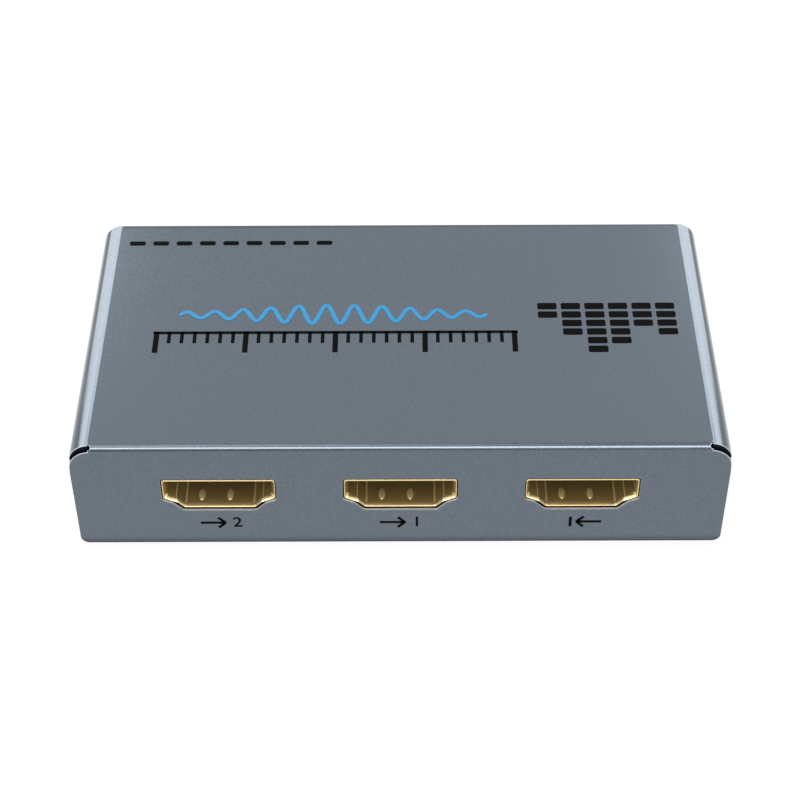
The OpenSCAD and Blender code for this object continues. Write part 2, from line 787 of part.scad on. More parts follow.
// Mouth of the optical socket: a square with its two upper corners cut off
module mouth_outline() polygon([
    [-mouth_w / 2, mouth_z], [mouth_w / 2, mouth_z], [mouth_w / 2, mouth_z + mouth_h - mouth_chamfer],
    [mouth_w / 2 - mouth_chamfer, mouth_z + mouth_h], [-mouth_w / 2 + mouth_chamfer, mouth_z + mouth_h],
    [-mouth_w / 2, mouth_z + mouth_h - mouth_chamfer]
]);

module optical_housing() color(black) at_rear(optical_x) {
    difference() {
        bar(optical_w, optical_face, optical_end, 0, optical_h);
        along_y(optical_face - cut, optical_front + cut) mouth_outline();
        bar(chamber_w, optical_front, optical_back, mouth_z - chamber_lip, chamber_top);
        translate([0, 0, mouth_mid_z]) rod_y(fibre_hole_r, optical_back - cut, pocket_y + cut);
        bar(pocket_w, pocket_y, optical_end + cut, -cut, pocket_h);
        translate([0, hinge_y, hinge_z])
            rod_x(hinge_pin_r + fit_gap, -optical_w / 2 - cut, optical_w / 2 + cut);
    }
    for (s = [-1, 1])
        translate([s * optical_w * optical_peg_place_share, optical_peg_y(), -board_t - tail_proud])
            cylinder(r = optical_peg_r, h = board_t + tail_proud + mouth_z / 2);
}

module optical_shutter() color(chip_black) at_rear(optical_x) difference() {
    half = chamber_w / 2 - flap_side_gap;
    union() {
        translate([0, hinge_y, hinge_z]) rod_x(hinge_r, -half, half);
        block(
            [-half, hinge_y - flap_t / 2, mouth_z - chamber_lip + flap_side_gap],
            [half, hinge_y + flap_t / 2, hinge_z]
        );
    }
    translate([0, hinge_y, hinge_z]) {
        rod_x(hinge_pin_r + run_gap, -half - cut, half + cut);
        bar(notch_w, -flap_t, flap_t, -hinge_r - coil_gap, hinge_r + cut);
    }
}

module optical_shutter_pin() color(steel) at_rear(optical_x) translate([0, hinge_y, hinge_z])
    rod_x(hinge_pin_r, -optical_w / 2, optical_w / 2);

// Centre line of the spring: a leg on the front frame, the turns round the pin, a leg down the flap's back
function coil_point(i) =
    let (turn = 90 - i * 360 / coil_steps, full = i / coil_steps)
    [(full - coil_turns / 2) * coil_pitch, coil_r * cos(turn), coil_r * sin(turn)];
coil_count = round((coil_turns + 0.25) * coil_steps);
spring_path = concat(
    [coil_point(0) - [0, hinge_y - optical_front - coil_wire_r, 0]],
    [for (i = [0 : coil_count]) coil_point(i)],
    [coil_point(coil_count) - [0, 0, coil_leg]]
);

// Round wire along a path that never runs along X
module wire(path, r) {
    last = len(path) - 1;
    points = [
        for (i = [0 : last])
            let (
                t = unit(path[min(i + 1, last)] - path[max(i - 1, 0)]),
                u = unit([1, 0, 0] - t.x * t),
                v = cross(t, u)
            )
            for (k = [0 : wire_sides - 1])
                path[i] + r * (cos(k * 360 / wire_sides) * u + sin(k * 360 / wire_sides) * v)
    ];
    polyhedron(
        points = points,
        faces = concat(
            [[for (k = [0 : wire_sides - 1]) k]],
            [for (i = [0 : last - 1], k = [0 : wire_sides - 1])
                let (a = i * wire_sides + k, b = i * wire_sides + (k + 1) % wire_sides)
                [a, a + wire_sides, b + wire_sides, b]],
            [[for (k = [0 : wire_sides - 1]) last * wire_sides + wire_sides - 1 - k]]
        )
    );
}

module optical_shutter_spring() color(steel) at_rear(optical_x) translate([0, hinge_y, hinge_z])
    wire(spring_path, coil_wire_r);

module optical_emitter() color([0.55, 0.12, 0.12]) at_rear(optical_x) {
    bar(
        emitter_w, emitter_y, emitter_y + emitter_d,
        mouth_mid_z - emitter_h / 2, mouth_mid_z + emitter_h / 2
    );
    translate([0, 0, mouth_mid_z])
        rod_y(emitter_lens_r, emitter_y - emitter_lens_l, emitter_y + emitter_d / 2);
}

module optical_rear_cover() color(black) at_rear(optical_x)
    bar(pocket_w - 2 * fit_gap, optical_end - rear_cover_t, optical_end, 0, pocket_h - fit_gap);

module optical_leads() color(tin) at_rear(optical_x) for (i = [-1 : 1])
    translate([i * lead_pitch, 0, 0]) bar(
        lead_w, emitter_y + emitter_d / 2 - lead_w / 2, emitter_y + emitter_d / 2 + lead_w / 2,
        -board_t - tail_proud, mouth_mid_z - emitter_h / 2
    );

// Leaves of the sound jack: side, place along the jack, and where the inner face lies
jack_leaves = [
    [1, leaf_sleeve_y + sheet_t, jack_bore_r + ferrule_t + fit_gap],
    [-1, leaf_ring_y + sheet_t, jack_bore_r - leaf_in],
    [1, leaf_tip_y + sheet_t, jack_bore_r - leaf_in]
];

module jack_leaf(leaf, grow, top) translate([leaf[0] * (leaf[2] + leaf_t / 2), leaf[1], 0])
    block(
        [-leaf_t / 2 - grow, -leaf_w / 2 - grow, -board_t - tail_proud],
        [leaf_t / 2 + grow, leaf_w / 2 + grow, top]
    );

module sound_jack_body() color(black) at_rear(jack_x) difference() {
    union() {
        bar(jack_w, behind_wall, behind_wall + jack_l, 0, jack_h);
        translate([0, 0, jack_z]) rod_y(jack_nose_r, jack_face + jack_flange_t, behind_wall + cut);
    }
    translate([0, 0, jack_z]) {
        rod_y(jack_bore_r, -cut, jack_face + jack_bore_l);
        rod_y(jack_bore_r + ferrule_t + fit_gap, -cut, jack_face + ferrule_l);
    }
    for (leaf = jack_leaves) jack_leaf(leaf, loose_gap, jack_z + leaf_top + loose_gap);
    for (leaf = jack_leaves) translate([leaf[0] * leaf_travel, 0, 0])
        jack_leaf(leaf, loose_gap, jack_z + leaf_top + loose_gap);
}

module sound_jack_ferrule() color(tin) at_rear(jack_x) translate([0, 0, jack_z]) difference() {
    union() {
        rod_y(jack_nose_r, jack_face, jack_face + jack_flange_t);
        rod_y(jack_bore_r + ferrule_t, jack_face, jack_face + ferrule_l);
    }
    rod_y(jack_bore_r, -cut, jack_face + ferrule_l + cut);
}

module sound_jack_contacts() color(tin) at_rear(jack_x)
    for (leaf = jack_leaves) jack_leaf(leaf, 0, jack_z + leaf_top);

module power_socket_body() color(black) at_rear(power_x) difference() {
    union() {
        bar(power_w, behind_wall, behind_wall + power_l, 0, power_h);
        translate([0, 0, power_z]) rod_y(power_nose_r, power_face, behind_wall + cut);
    }
    translate([0, 0, power_z]) {
        rod_y(power_bore_r, -cut, power_face + power_bore_l);
        rod_y(power_shank_r + fit_gap, -cut, behind_wall + power_l + cut);
    }
    bar(
        power_leaf_w + 2 * power_slot_gap, behind_wall + power_leaf_y - power_slot_gap,
        power_leaf_end() + power_leaf_t + power_slot_gap, -cut, power_z - power_bore_r / 2
    );
}

module power_socket_pin() color(tin) at_rear(power_x) {
    translate([0, 0, power_z]) {
        rod_y(power_pin_r, power_face + power_pin_setback + power_pin_r / 2, power_face + power_bore_l);
        rod_y(power_shank_r, power_face + power_bore_l - power_shank_r, behind_wall + power_l + power_head_t);
        translate([0, power_face + power_pin_setback, 0]) rotate([-90, 0, 0])
            cylinder(r1 = power_pin_r / 2, r2 = power_pin_r, h = power_pin_r / 2);
        rod_y(power_head_r, behind_wall + power_l, behind_wall + power_l + power_head_t);
    }
    bar(
        power_blade_w, behind_wall + power_l, behind_wall + power_l + power_head_t,
        -board_t - tail_proud, power_z
    );
}

module power_socket_spring() color(tin) at_rear(power_x)
    along_x(-power_leaf_w / 2, power_leaf_w / 2) polygon([
        [behind_wall + power_leaf_y, power_z - power_bore_r + power_leaf_in - power_leaf_t],
        [power_leaf_end(), power_z - power_bore_r + power_leaf_in - power_leaf_t],
        [power_leaf_end(), -board_t - tail_proud], [power_leaf_end() + power_leaf_t, -board_t - tail_proud],
        [power_leaf_end() + power_leaf_t, power_z - power_bore_r + power_leaf_in],
        [behind_wall + power_leaf_y, power_z - power_bore_r + power_leaf_in]
    ]);

module mode_switch_frame() color(steel) at_rear(switch_x) {
    difference() {
        bar(switch_w, switch_front, switch_back, 0, switch_h);
        bar(switch_w - 2 * can_t, switch_front + can_t, switch_back + cut, can_t, switch_h - can_t);
        bar(
            stem_w + 2 * switch_step + 2 * stroke_gap, switch_front - cut, switch_front + can_t + cut,
            knob_z - stem_h / 2 - stroke_gap, knob_z + stem_h / 2 + stroke_gap
        );
        for (i = [0 : terminal_count - 1]) translate([terminal_x(i), 0, 0])
            bar(terminal_w + 2 * loose_gap, terminal_y() - terminal_t, switch_back + cut, -cut, can_t + cut);
    }
    for (s = [-1, 1]) translate([s * (switch_w - can_t) / 2, switch_front + switch_d / 2, 0])
        block([-can_t / 2, -switch_leg_w / 2, -board_t - tail_proud], [can_t / 2, switch_leg_w / 2, can_t]);
}

module mode_switch_base() color([0.45, 0.25, 0.12]) at_rear(switch_x) difference() {
    bar(
        switch_w - 2 * can_t - 2 * fit_gap, switch_base_y, switch_back,
        can_t + fit_gap, switch_h - can_t - fit_gap
    );
    for (i = [0 : terminal_count - 1]) translate([terminal_x(i), 0, 0]) bar(
        terminal_w + 2 * fit_gap, switch_base_y - cut, switch_base_y + terminal_t + fit_gap,
        -cut, terminal_top()
    );
}
function terminal_top() = knob_z + wiper_h / 2;

module mode_switch_terminals() color(tin) at_rear(switch_x)
    for (i = [0 : terminal_count - 1]) translate([terminal_x(i), 0, 0]) bar(
        terminal_w, switch_base_y, switch_base_y + terminal_t,
        -board_t - tail_proud, terminal_top() - fit_gap
    );

module mode_switch_knob() color(black) at_rear(switch_x) {
    along_x(-stem_w / 2, stem_w / 2) polygon([
        [carriage_y + carriage_d / 2, knob_z - stem_h / 2],
        [carriage_y + carriage_d / 2, knob_z + stem_h / 2],
        [-knob_out + stem_edge, knob_z + stem_h / 2], [-knob_out, knob_z + stem_h / 2 - stem_edge],
        [-knob_out, knob_z - stem_h / 2 + stem_edge], [-knob_out + stem_edge, knob_z - stem_h / 2]
    ]);
    bar(carriage_w, carriage_y, wiper_y, knob_z - carriage_h / 2, knob_z + carriage_h / 2);
}

module mode_switch_wiper() color(tin) at_rear(switch_x) {
    bar(wiper_w, wiper_y, wiper_y + wiper_t, knob_z - wiper_h / 2, knob_z + wiper_h / 2);
    for (s = [-1, 1]) translate([s * switch_step / 2, switch_base_y - run_gap - bump_r, knob_z - wiper_h / 4])
        cylinder(r = bump_r, h = wiper_h / 2);
    for (s = [-1, 1]) translate([s * switch_step / 2, 0, 0]) bar(
        bump_r, wiper_y + wiper_t / 2, switch_base_y - run_gap - bump_r,
        knob_z - wiper_h / 4, knob_z + wiper_h / 4
    );
}

module power_light() color([0.75, 0.85, 0.95]) at_rear(light_x) translate([0, 0, light_z]) {
    translate([0, light_r + light_face, 0]) sphere(light_r);
    rod_y(light_r, light_r + light_face, light_flange_y());
    rod_y(light_flange_r, light_flange_y(), light_flange_y() + light_flange_t);
}

module power_light_leads() color(tin) at_rear(light_x) for (s = [-1, 1])
    translate([s * lead_pitch, 0, 0]) along_x(-lead_w / 2, lead_w / 2) polygon([
        [light_flange_y() + light_flange_t, light_z - lead_w / 2],
        [light_lead_y() - lead_w / 2, light_z - lead_w / 2],
        [light_lead_y() - lead_w / 2, -board_t - tail_proud],
        [light_lead_y() + lead_w / 2, -board_t - tail_proud],
        [light_lead_y() + lead_w / 2, light_z + lead_w / 2],
        [light_flange_y() + light_flange_t, light_z + lead_w / 2]
    ]);

// Chip body with a bevelled upper edge
module chip_body(w, d, h, lift, edge) translate([0, 0, lift]) intersection() {
    along_y(-d / 2, d / 2) bevelled_outline(w, h - lift, edge);
    along_x(-w / 2, w / 2) bevelled_outline(d, h - lift, edge);
}
module bevelled_outline(w, h, edge) polygon([
    [-w / 2, 0], [w / 2, 0], [w / 2, h - edge], [w / 2 - edge, h], [-w / 2 + edge, h], [-w / 2, h - edge]
]);

module splitter_chip() color(chip_black) on_board(splitter_place)
    chip_body(splitter_w, splitter_w, splitter_h, 0, chip_edge);

module thermal_pad() color([0.85, 0.87, 0.9]) on_board(splitter_place)
    bar(
        splitter_w - 2 * chip_edge, -splitter_w / 2 + chip_edge, splitter_w / 2 - chip_edge,
        splitter_h, splitter_h + pad_t
    );

module heat_sink() color(steel) on_board(splitter_place) translate([0, 0, splitter_h + pad_t]) {
    bar(splitter_w, -splitter_w / 2, splitter_w / 2, 0, sink_base_h);
    for (i = [0 : sink_fins - 1])
        translate([-splitter_w / 2 + i * (splitter_w - fin_t) / (sink_fins - 1), -splitter_w / 2, 0])
            cube([fin_t, splitter_w, sink_h]);
}

module sound_chip() color(chip_black) on_board(sound_chip_place)
    chip_body(sound_chip_w, sound_chip_w, sound_chip_h, chip_lift, chip_edge);

// Gull-wing lead that leaves a chip's side along +Y, and a row of them on two sides
module gull_lead(chip_h) along_x(-gull_w / 2, gull_w / 2) polygon([
    [0, chip_h / 2], [gull_foot + gull_t, chip_h / 2], [gull_foot + gull_t, gull_t],
    [gull_reach, gull_t], [gull_reach, 0], [gull_foot, 0], [gull_foot, chip_h / 2 - gull_t],
    [0, chip_h / 2 - gull_t]
]);
module gull_rows(d, chip_h, pitch, count) for (turn = [0, 180]) rotate([0, 0, turn])
    for (i = [0 : count - 1]) translate([(i - (count - 1) / 2) * pitch, d / 2, 0]) gull_lead(chip_h);

module sound_chip_leads() color(tin) on_board(sound_chip_place) for (turn = [0, 90]) rotate([0, 0, turn])
    gull_rows(sound_chip_w, sound_chip_h, gull_pitch, gull_per_side);

module controller_chip() color(chip_black) on_board(controller_place)
    chip_body(controller_w, controller_d, controller_h, chip_lift, chip_edge);

module controller_leads() color(tin) on_board(controller_place)
    gull_rows(controller_d, controller_h, controller_pitch, controller_per_side);

module power_regulator() color(chip_black) on_board(regulator_place) {
    chip_body(regulator_w, regulator_d, regulator_h, 0, chip_edge);
    bar(regulator_tab_w, regulator_d / 2 - chip_edge, regulator_d / 2 + regulator_tab_l, 0, regulator_lead_t);
    for (i = [-1 : 1]) translate([i * regulator_pitch, 0, 0]) bar(
        regulator_lead_w, -regulator_d / 2 - regulator_tab_l, -regulator_d / 2 + chip_edge,
        0, regulator_lead_t
    );
}

module power_inductors() color([0.22, 0.22, 0.23]) for (place = inductor_places) on_board(place) {
    linear_extrude(inductor_h) polygon(cut_corners(inductor_w, inductor_corner));
    cylinder(r = inductor_core_r, h = inductor_h + inductor_core_h);
}
function cut_corners(w, c) = [
    [-w / 2 + c, -w / 2], [w / 2 - c, -w / 2], [w / 2, -w / 2 + c], [w / 2, w / 2 - c],
    [w / 2 - c, w / 2], [-w / 2 + c, w / 2], [-w / 2, w / 2 - c], [-w / 2, -w / 2 + c]
];

module capacitor_cans() color(steel) for (place = can_places) on_board(place) translate([0, 0, can_base_h])
    rotate_extrude() polygon([
        [0, 0], [can_r, 0], [can_r, can_h - can_edge], [can_r - can_edge, can_h], [0, can_h]
    ]);

module capacitor_bases() color(black) for (place = can_places) on_board(place) linear_extrude(can_base_h)
    polygon([
        [-can_base_w / 2, -can_base_w / 2], [can_base_w / 2 - can_base_corner, -can_base_w / 2],
        [can_base_w / 2, -can_base_w / 2 + can_base_corner],
        [can_base_w / 2, can_base_w / 2 - can_base_corner],
        [can_base_w / 2 - can_base_corner, can_base_w / 2], [-can_base_w / 2, can_base_w / 2]
    ]);

// Rows of small capacitors on three sides of the splitter chip
module ceramic_capacitors() color([0.62, 0.50, 0.36]) on_board(splitter_place) for (turn = [-90, 0, 90])
    rotate([0, 0, turn]) for (i = [0 : capacitors_per_side - 1])
        translate([
            (i - (capacitors_per_side - 1) / 2) * splitter_w / capacitors_per_side,
            splitter_w / 2 + capacitor_gap, 0
        ]) bar(small_w, 0, small_l, 0, capacitor_h);

module chip_resistors() color(chip_black) for (x = video_x, i = [0 : resistors_per_socket - 1]) at_front(x)
    translate([(i - (resistors_per_socket - 1) / 2) * resistor_pitch, resistor_y, 0])
        bar(small_w, 0, small_l, 0, resistor_h);

module clock_crystal() color(tin) on_board(crystal_place) {
    bar(crystal_l - crystal_w, -crystal_w / 2, crystal_w / 2, 0, crystal_h);
    for (s = [-1, 1]) translate([s * (crystal_l - crystal_w) / 2, 0, 0])
        cylinder(r = crystal_w / 2, h = crystal_h);
}

module surge_arrays() color(chip_black) for (x = video_x, s = [-1, 1]) at_front(x)
    translate([s * array_spread, tail_y + contact_foot + array_behind - array_w, 0])
        chip_body(array_l, array_w, array_h, 0, array_h / 4);

top_cover();
bottom_plate();
cover_nuts();
cover_screws();
rubber_feet();
board_standoffs();
board_screws();
main_board();
left_output_shell();
left_output_insulator();
left_output_contacts();
middle_output_shell();
middle_output_insulator();
middle_output_contacts();
input_shell();
input_insulator();
input_contacts();
optical_housing();
optical_shutter();
optical_shutter_pin();
optical_shutter_spring();
optical_emitter();
optical_rear_cover();
optical_leads();
sound_jack_body();
sound_jack_ferrule();
sound_jack_contacts();
power_socket_body();
power_socket_pin();
power_socket_spring();
mode_switch_frame();
mode_switch_base();
mode_switch_terminals();
mode_switch_knob();
mode_switch_wiper();
power_light();
power_light_leads();
splitter_chip();
thermal_pad();
heat_sink();
sound_chip();
sound_chip_leads();
controller_chip();
controller_leads();
power_regulator();
power_inductors();
capacitor_cans();
capacitor_bases();
ceramic_capacitors();
chip_resistors();
clock_crystal();
surge_arrays();
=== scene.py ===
# Looks of a small steel box that splits a video signal and takes its sound out.
# Metres. The video sockets are in the front (-Y), and the origin is under the middle of the box.
import json
import math

import bpy
from mathutils import Matrix, Vector


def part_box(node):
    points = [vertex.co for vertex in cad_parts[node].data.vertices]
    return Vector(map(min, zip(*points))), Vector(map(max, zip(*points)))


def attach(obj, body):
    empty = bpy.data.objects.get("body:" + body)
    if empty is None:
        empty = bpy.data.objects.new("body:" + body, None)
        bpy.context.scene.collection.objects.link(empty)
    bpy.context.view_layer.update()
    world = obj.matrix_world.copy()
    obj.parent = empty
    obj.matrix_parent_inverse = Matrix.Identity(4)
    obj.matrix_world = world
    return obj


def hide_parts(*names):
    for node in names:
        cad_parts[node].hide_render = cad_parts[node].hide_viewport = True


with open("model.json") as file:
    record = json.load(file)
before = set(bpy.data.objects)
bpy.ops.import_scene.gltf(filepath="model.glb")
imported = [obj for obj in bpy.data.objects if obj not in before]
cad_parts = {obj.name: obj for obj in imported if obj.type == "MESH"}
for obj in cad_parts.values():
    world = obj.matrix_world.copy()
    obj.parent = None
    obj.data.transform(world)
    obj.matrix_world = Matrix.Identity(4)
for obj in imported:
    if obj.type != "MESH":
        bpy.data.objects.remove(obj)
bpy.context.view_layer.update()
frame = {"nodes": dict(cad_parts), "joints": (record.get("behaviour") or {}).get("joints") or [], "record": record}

MM = 0.001
COVER_LOW, COVER_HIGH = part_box("top_cover")
FRONT_Y, REAR_Y = COVER_LOW[1], COVER_HIGH[1]
BASE_Z, TOP_Z = COVER_LOW[2], COVER_HIGH[2]
MID_Y = (FRONT_Y + REAR_Y) / 2
VIDEO_SOCKETS = ("left_output", "middle_output", "input")
SHELL_BOXES = {socket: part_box(socket + "_shell") for socket in VIDEO_SOCKETS}


# Node groups
FLOAT = "NodeSocketFloat"
COLOUR = "NodeSocketColor"
VECTOR = "ShaderNodeVectorMath"
GRAIN_DETAIL = 2
BRUSHED_DETAIL = 3
BRUSHED_SCALE = 3000
BRUSHED_STRETCH = (0.06, 1, 1)
HANDLING_DETAIL = 4
HANDLING_SCALE = 70
HANDLING_TWIST = 0.6


def add(tree, kind, **settings):
    made = tree.nodes.new(kind)
    for name, value in settings.items():
        setattr(made, name, value)
    return made


def maths(tree, operation, *values, kind="ShaderNodeMath", output=0):
    """Output of a math node; each value is a number, a vector or another node's output"""
    made = add(tree, kind, operation=operation)
    for socket, value in zip(made.inputs, values):
        if isinstance(value, bpy.types.NodeSocket):
            tree.links.new(value, socket)
        else:
            socket.default_value = value
    return made.outputs[output]


def new_group(name, inputs, outputs):
    """Shader node group with named sockets; returns it, what it is given and what it puts out"""
    group = bpy.data.node_groups.new(name, "ShaderNodeTree")
    for title, kind in inputs.items():
        group.interface.new_socket(title, in_out="INPUT", socket_type=kind)
    for title, kind in outputs.items():
        group.interface.new_socket(title, in_out="OUTPUT", socket_type=kind)
    given = group.nodes.new("NodeGroupInput").outputs
    return group, given, group.nodes.new("NodeGroupOutput").inputs


def own_noise(group, given, detail, twist=0, stretch=None):
    """Noise in the piece's own coordinates, at the scale that the group is given"""
    place = add(group, "ShaderNodeTexCoord").outputs["Object"]
    if stretch:
        mapping = add(group, "ShaderNodeMapping")
        mapping.inputs["Scale"].default_value = stretch
        group.links.new(place, mapping.inputs["Vector"])
        place = mapping.outputs["Vector"]
    noise = add(group, "ShaderNodeTexNoise")
    noise.inputs["Detail"].default_value = detail
    noise.inputs["Distortion"].default_value = twist
    group.links.new(place, noise.inputs["Vector"])
    group.links.new(given["Scale"], noise.inputs["Scale"])
    return noise.outputs["Fac"]


def speckle_group():
    """Fine grain of paint, plating or moulding: colour, and a height for the bump"""
    group, given, result = new_group(
        "Speckle",
        {"Color": COLOUR, "Scale": FLOAT, "Contrast": FLOAT},
        {"Color": COLOUR, "Height": FLOAT})
    grain = own_noise(group, given, GRAIN_DETAIL)
    level = maths(group, "SUBTRACT", grain, 0.5)
    level = maths(group, "MULTIPLY", level, given["Contrast"])
    level = maths(group, "ADD", level, 1)
    shade = add(group, VECTOR, operation="SCALE")
    group.links.new(given["Color"], shade.inputs["Vector"])
    group.links.new(level, shade.inputs["Scale"])
    group.links.new(shade.outputs["Vector"], result["Color"])
    group.links.new(grain, result["Height"])
    return group


def brushed_group():
    """Fine lines of drawn or rolled metal along X: roughness and height"""
    group, given, result = new_group(
        "Brushed",
        {"Roughness": FLOAT, "Spread": FLOAT, "Scale": FLOAT},
        {"Roughness": FLOAT, "Height": FLOAT})
    lines = own_noise(group, given, BRUSHED_DETAIL, stretch=BRUSHED_STRETCH)
    level = maths(group, "MULTIPLY_ADD", lines, given["Spread"], given["Roughness"])
    group.links.new(level, result["Roughness"])
    group.links.new(lines, result["Height"])
    return group


def handling_group():
    """Faint, wide marks of handling: they shift the roughness a little"""
    group, given, result = new_group(
        "Handling", {"Roughness": FLOAT, "Spread": FLOAT, "Scale": FLOAT}, {"Roughness": FLOAT})
    marks = own_noise(group, given, HANDLING_DETAIL, twist=HANDLING_TWIST)
    marks = maths(group, "SUBTRACT", marks, 0.5)
    level = maths(group, "MULTIPLY_ADD", marks, given["Spread"], given["Roughness"])
    group.links.new(level, result["Roughness"])
    return group


SPECKLE = speckle_group()
BRUSHED = brushed_group()
HANDLING = handling_group()


# Finishes
PAINT = (0.148, 0.179, 0.212)
ALUMINIUM = (0.70, 0.71, 0.72)
COAT_ROUGHNESS = 0.2
BUMP_REACH = 0.1 * MM
# Linear colours. Brushed metals have a spread of roughness along their lines, the others marks
# of handling.
LOOKS = {
    "case_paint": dict(
        colour=PAINT, metallic=0.62, roughness=0.17, grain=5200, contrast=0.8, bump=0.03,
        smudge=0.02),
    "plate_paint": dict(
        colour=PAINT, metallic=0.62, roughness=0.24, grain=5200, contrast=0.34, bump=0.03),
    "zinc_steel": dict(
        colour=(0.62, 0.63, 0.64), metallic=1.0, roughness=0.34, brushed=0.16, bump=0.04),
    "gold_plate": dict(
        colour=(0.80, 0.56, 0.20), metallic=1.0, roughness=0.13, grain=2500, contrast=0.10,
        bump=0.02),
    "tin_plate": dict(
        colour=(0.72, 0.72, 0.70), metallic=1.0, roughness=0.26, grain=2500, contrast=0.08,
        bump=0.04, smudge=0.12),
    "black_plastic": dict(
        colour=(0.012, 0.012, 0.013), roughness=0.46, grain=6000, contrast=0.3, bump=0.12),
    "socket_plastic": dict(
        colour=(0.010, 0.009, 0.006), roughness=0.52, grain=6000, contrast=0.3, bump=0.08),
    "foot_rubber": dict(
        colour=(0.018, 0.018, 0.019), roughness=0.78, grain=3500, contrast=0.4, bump=0.25),
    "board_laminate": dict(
        colour=(0.012, 0.10, 0.045), roughness=0.30, grain=900, contrast=0.35, bump=0.06,
        coat=0.4),
    "chip_resin": dict(
        colour=(0.020, 0.020, 0.022), roughness=0.58, grain=5000, contrast=0.35, bump=0.15),
    "pad_silicone": dict(
        colour=(0.62, 0.66, 0.72), roughness=0.62, grain=1500, contrast=0.08, bump=0.06),
    "sink_aluminium": dict(
        colour=ALUMINIUM, metallic=1.0, roughness=0.36, brushed=0.18, bump=0.06),
    "can_aluminium": dict(
        colour=ALUMINIUM, metallic=1.0, roughness=0.24, brushed=0.10, bump=0.03),
    "laminated_board": dict(
        colour=(0.17, 0.055, 0.016), roughness=0.50, grain=1200, contrast=0.4, bump=0.10),
    "ceramic": dict(
        colour=(0.34, 0.21, 0.10), roughness=0.55, grain=4000, contrast=0.2, bump=0.08),
    "ferrite": dict(
        colour=(0.045, 0.045, 0.050), roughness=0.62, grain=3000, contrast=0.4, bump=0.2),
    "emitter_resin": dict(
        colour=(0.26, 0.012, 0.012), roughness=0.12, contrast=0.04, bump=0.0, transmission=0.5),
    "lamp_resin": dict(
        colour=(0.60, 0.72, 0.85), roughness=0.10, contrast=0.03, bump=0.0, transmission=0.7),
    # Near-white rim along the cut-outs' front edges and the slots' outer edges: painted highlight
    "rim_painted_highlight": dict(
        colour=(0.88, 0.90, 0.92), metallic=0.25, roughness=0.35, grain=2500, bump=0.02),
    # Near-black for the cut faces of the cover's cut-outs and slots: painted shade of the gaps behind them
    "cut_painted_shade": dict(
        colour=(0.006, 0.008, 0.018), roughness=0.60, grain=4000, contrast=0.3, bump=0.10,
        gloss=0.08),
    # Lighter, less metallic gold for the socket's lip: painted highlight
    "gold_lip_highlight": dict(
        colour=(0.95, 0.75, 0.40), metallic=0.72, roughness=0.20, grain=2500, contrast=0.08,
        bump=0.02),
    # Darker, duller gold for the inside walls of a socket: painted shade of the hollow
    "gold_painted_shade": dict(
        colour=(0.34, 0.235, 0.075), metallic=0.35, roughness=0.46, grain=2500, contrast=0.12,
        bump=0.05),
    # Lighter, less metallic gold for the spring fingers and their swellings: painted highlight
    "gold_spring_highlight": dict(
        colour=(0.90, 0.70, 0.34), metallic=0.30, roughness=0.36, grain=2500, contrast=0.10,
        bump=0.03),
    "print_black": dict(
        colour=(0.001, 0.001, 0.0015), roughness=0.55, grain=5200, contrast=0.3, bump=0.06,
        gloss=0.04),
    "print_blue": dict(
        colour=(0.022, 0.42, 0.86), roughness=0.40, grain=5200, contrast=0.10, bump=0.06),
}


def put_group(tree, group, **values):
    made = add(tree, "ShaderNodeGroup", node_tree=group)
    for name, value in values.items():
        made.inputs[name].default_value = value
    return made.outputs


def finish(name, colour, roughness, bump, metallic=0.0, grain=3000, contrast=0.06, smudge=0.06,
           brushed=0.0, coat=0.0, transmission=0.0, gloss=0.5):
    """Material with speckled colour, uneven roughness and a fine bump"""
    material = bpy.data.materials.new(name)
    material.use_nodes = True
    tree = material.node_tree
    shader = tree.nodes["Principled BSDF"].inputs
    shader["Metallic"].default_value = metallic
    shader["Specular IOR Level"].default_value = gloss
    shader["Coat Weight"].default_value = coat
    shader["Coat Roughness"].default_value = COAT_ROUGHNESS
    shader["Transmission Weight"].default_value = transmission
    speckle = put_group(tree, SPECKLE, Color=(*colour, 1), Scale=grain, Contrast=contrast)
    if brushed:
        uneven = put_group(
            tree, BRUSHED, Roughness=roughness - brushed / 2, Spread=brushed, Scale=BRUSHED_SCALE)
    else:
        uneven = put_group(
            tree, HANDLING, Roughness=roughness, Spread=smudge, Scale=HANDLING_SCALE)
    bumps = add(tree, "ShaderNodeBump")
    bumps.inputs["Strength"].default_value = bump
    bumps.inputs["Distance"].default_value = BUMP_REACH
    height = (uneven if brushed else speckle)["Height"]
    tree.links.new(speckle["Color"], shader["Base Color"])
    tree.links.new(uneven["Roughness"], shader["Roughness"])
    tree.links.new(height, bumps.inputs["Height"])
    tree.links.new(bumps.outputs["Normal"], shader["Normal"])
    return material


FINISHES = {name: finish(name, **look) for name, look in LOOKS.items()}
for part in frame["record"]["subparts"]:
    for slot in frame["nodes"][part["node"]].material_slots:
        slot.material = FINISHES[part["material_slot"]]


# Making pieces
EASE_ANGLE = 40
EASE_FINE = 0.03 * MM
ROUND_ANGLE = 50
MERGE_WITHIN = 0.001 * MM
FLAT_WITHIN = 0.5


def only(*pieces):
    """Selects these pieces alone, the first one active"""
    bpy.ops.object.select_all(action="DESELECT")
    for piece in pieces:
        piece.select_set(True)
    bpy.context.view_layer.objects.active = pieces[0]


def fresh(make, scale=None, **settings):
    """New object from an operator, at the origin, with nothing else selected"""
    bpy.ops.object.select_all(action="DESELECT")
    make(**settings)
    made = bpy.context.object
    if scale:
        made.scale = scale
        bpy.ops.object.transform_apply(location=False, rotation=False, scale=True)
    return made


def open_all():
    """Opens the active piece for editing, all of it selected"""
    bpy.ops.object.mode_set(mode="EDIT")
    bpy.ops.mesh.select_all(action="SELECT")


def close():
    bpy.ops.object.mode_set(mode="OBJECT")


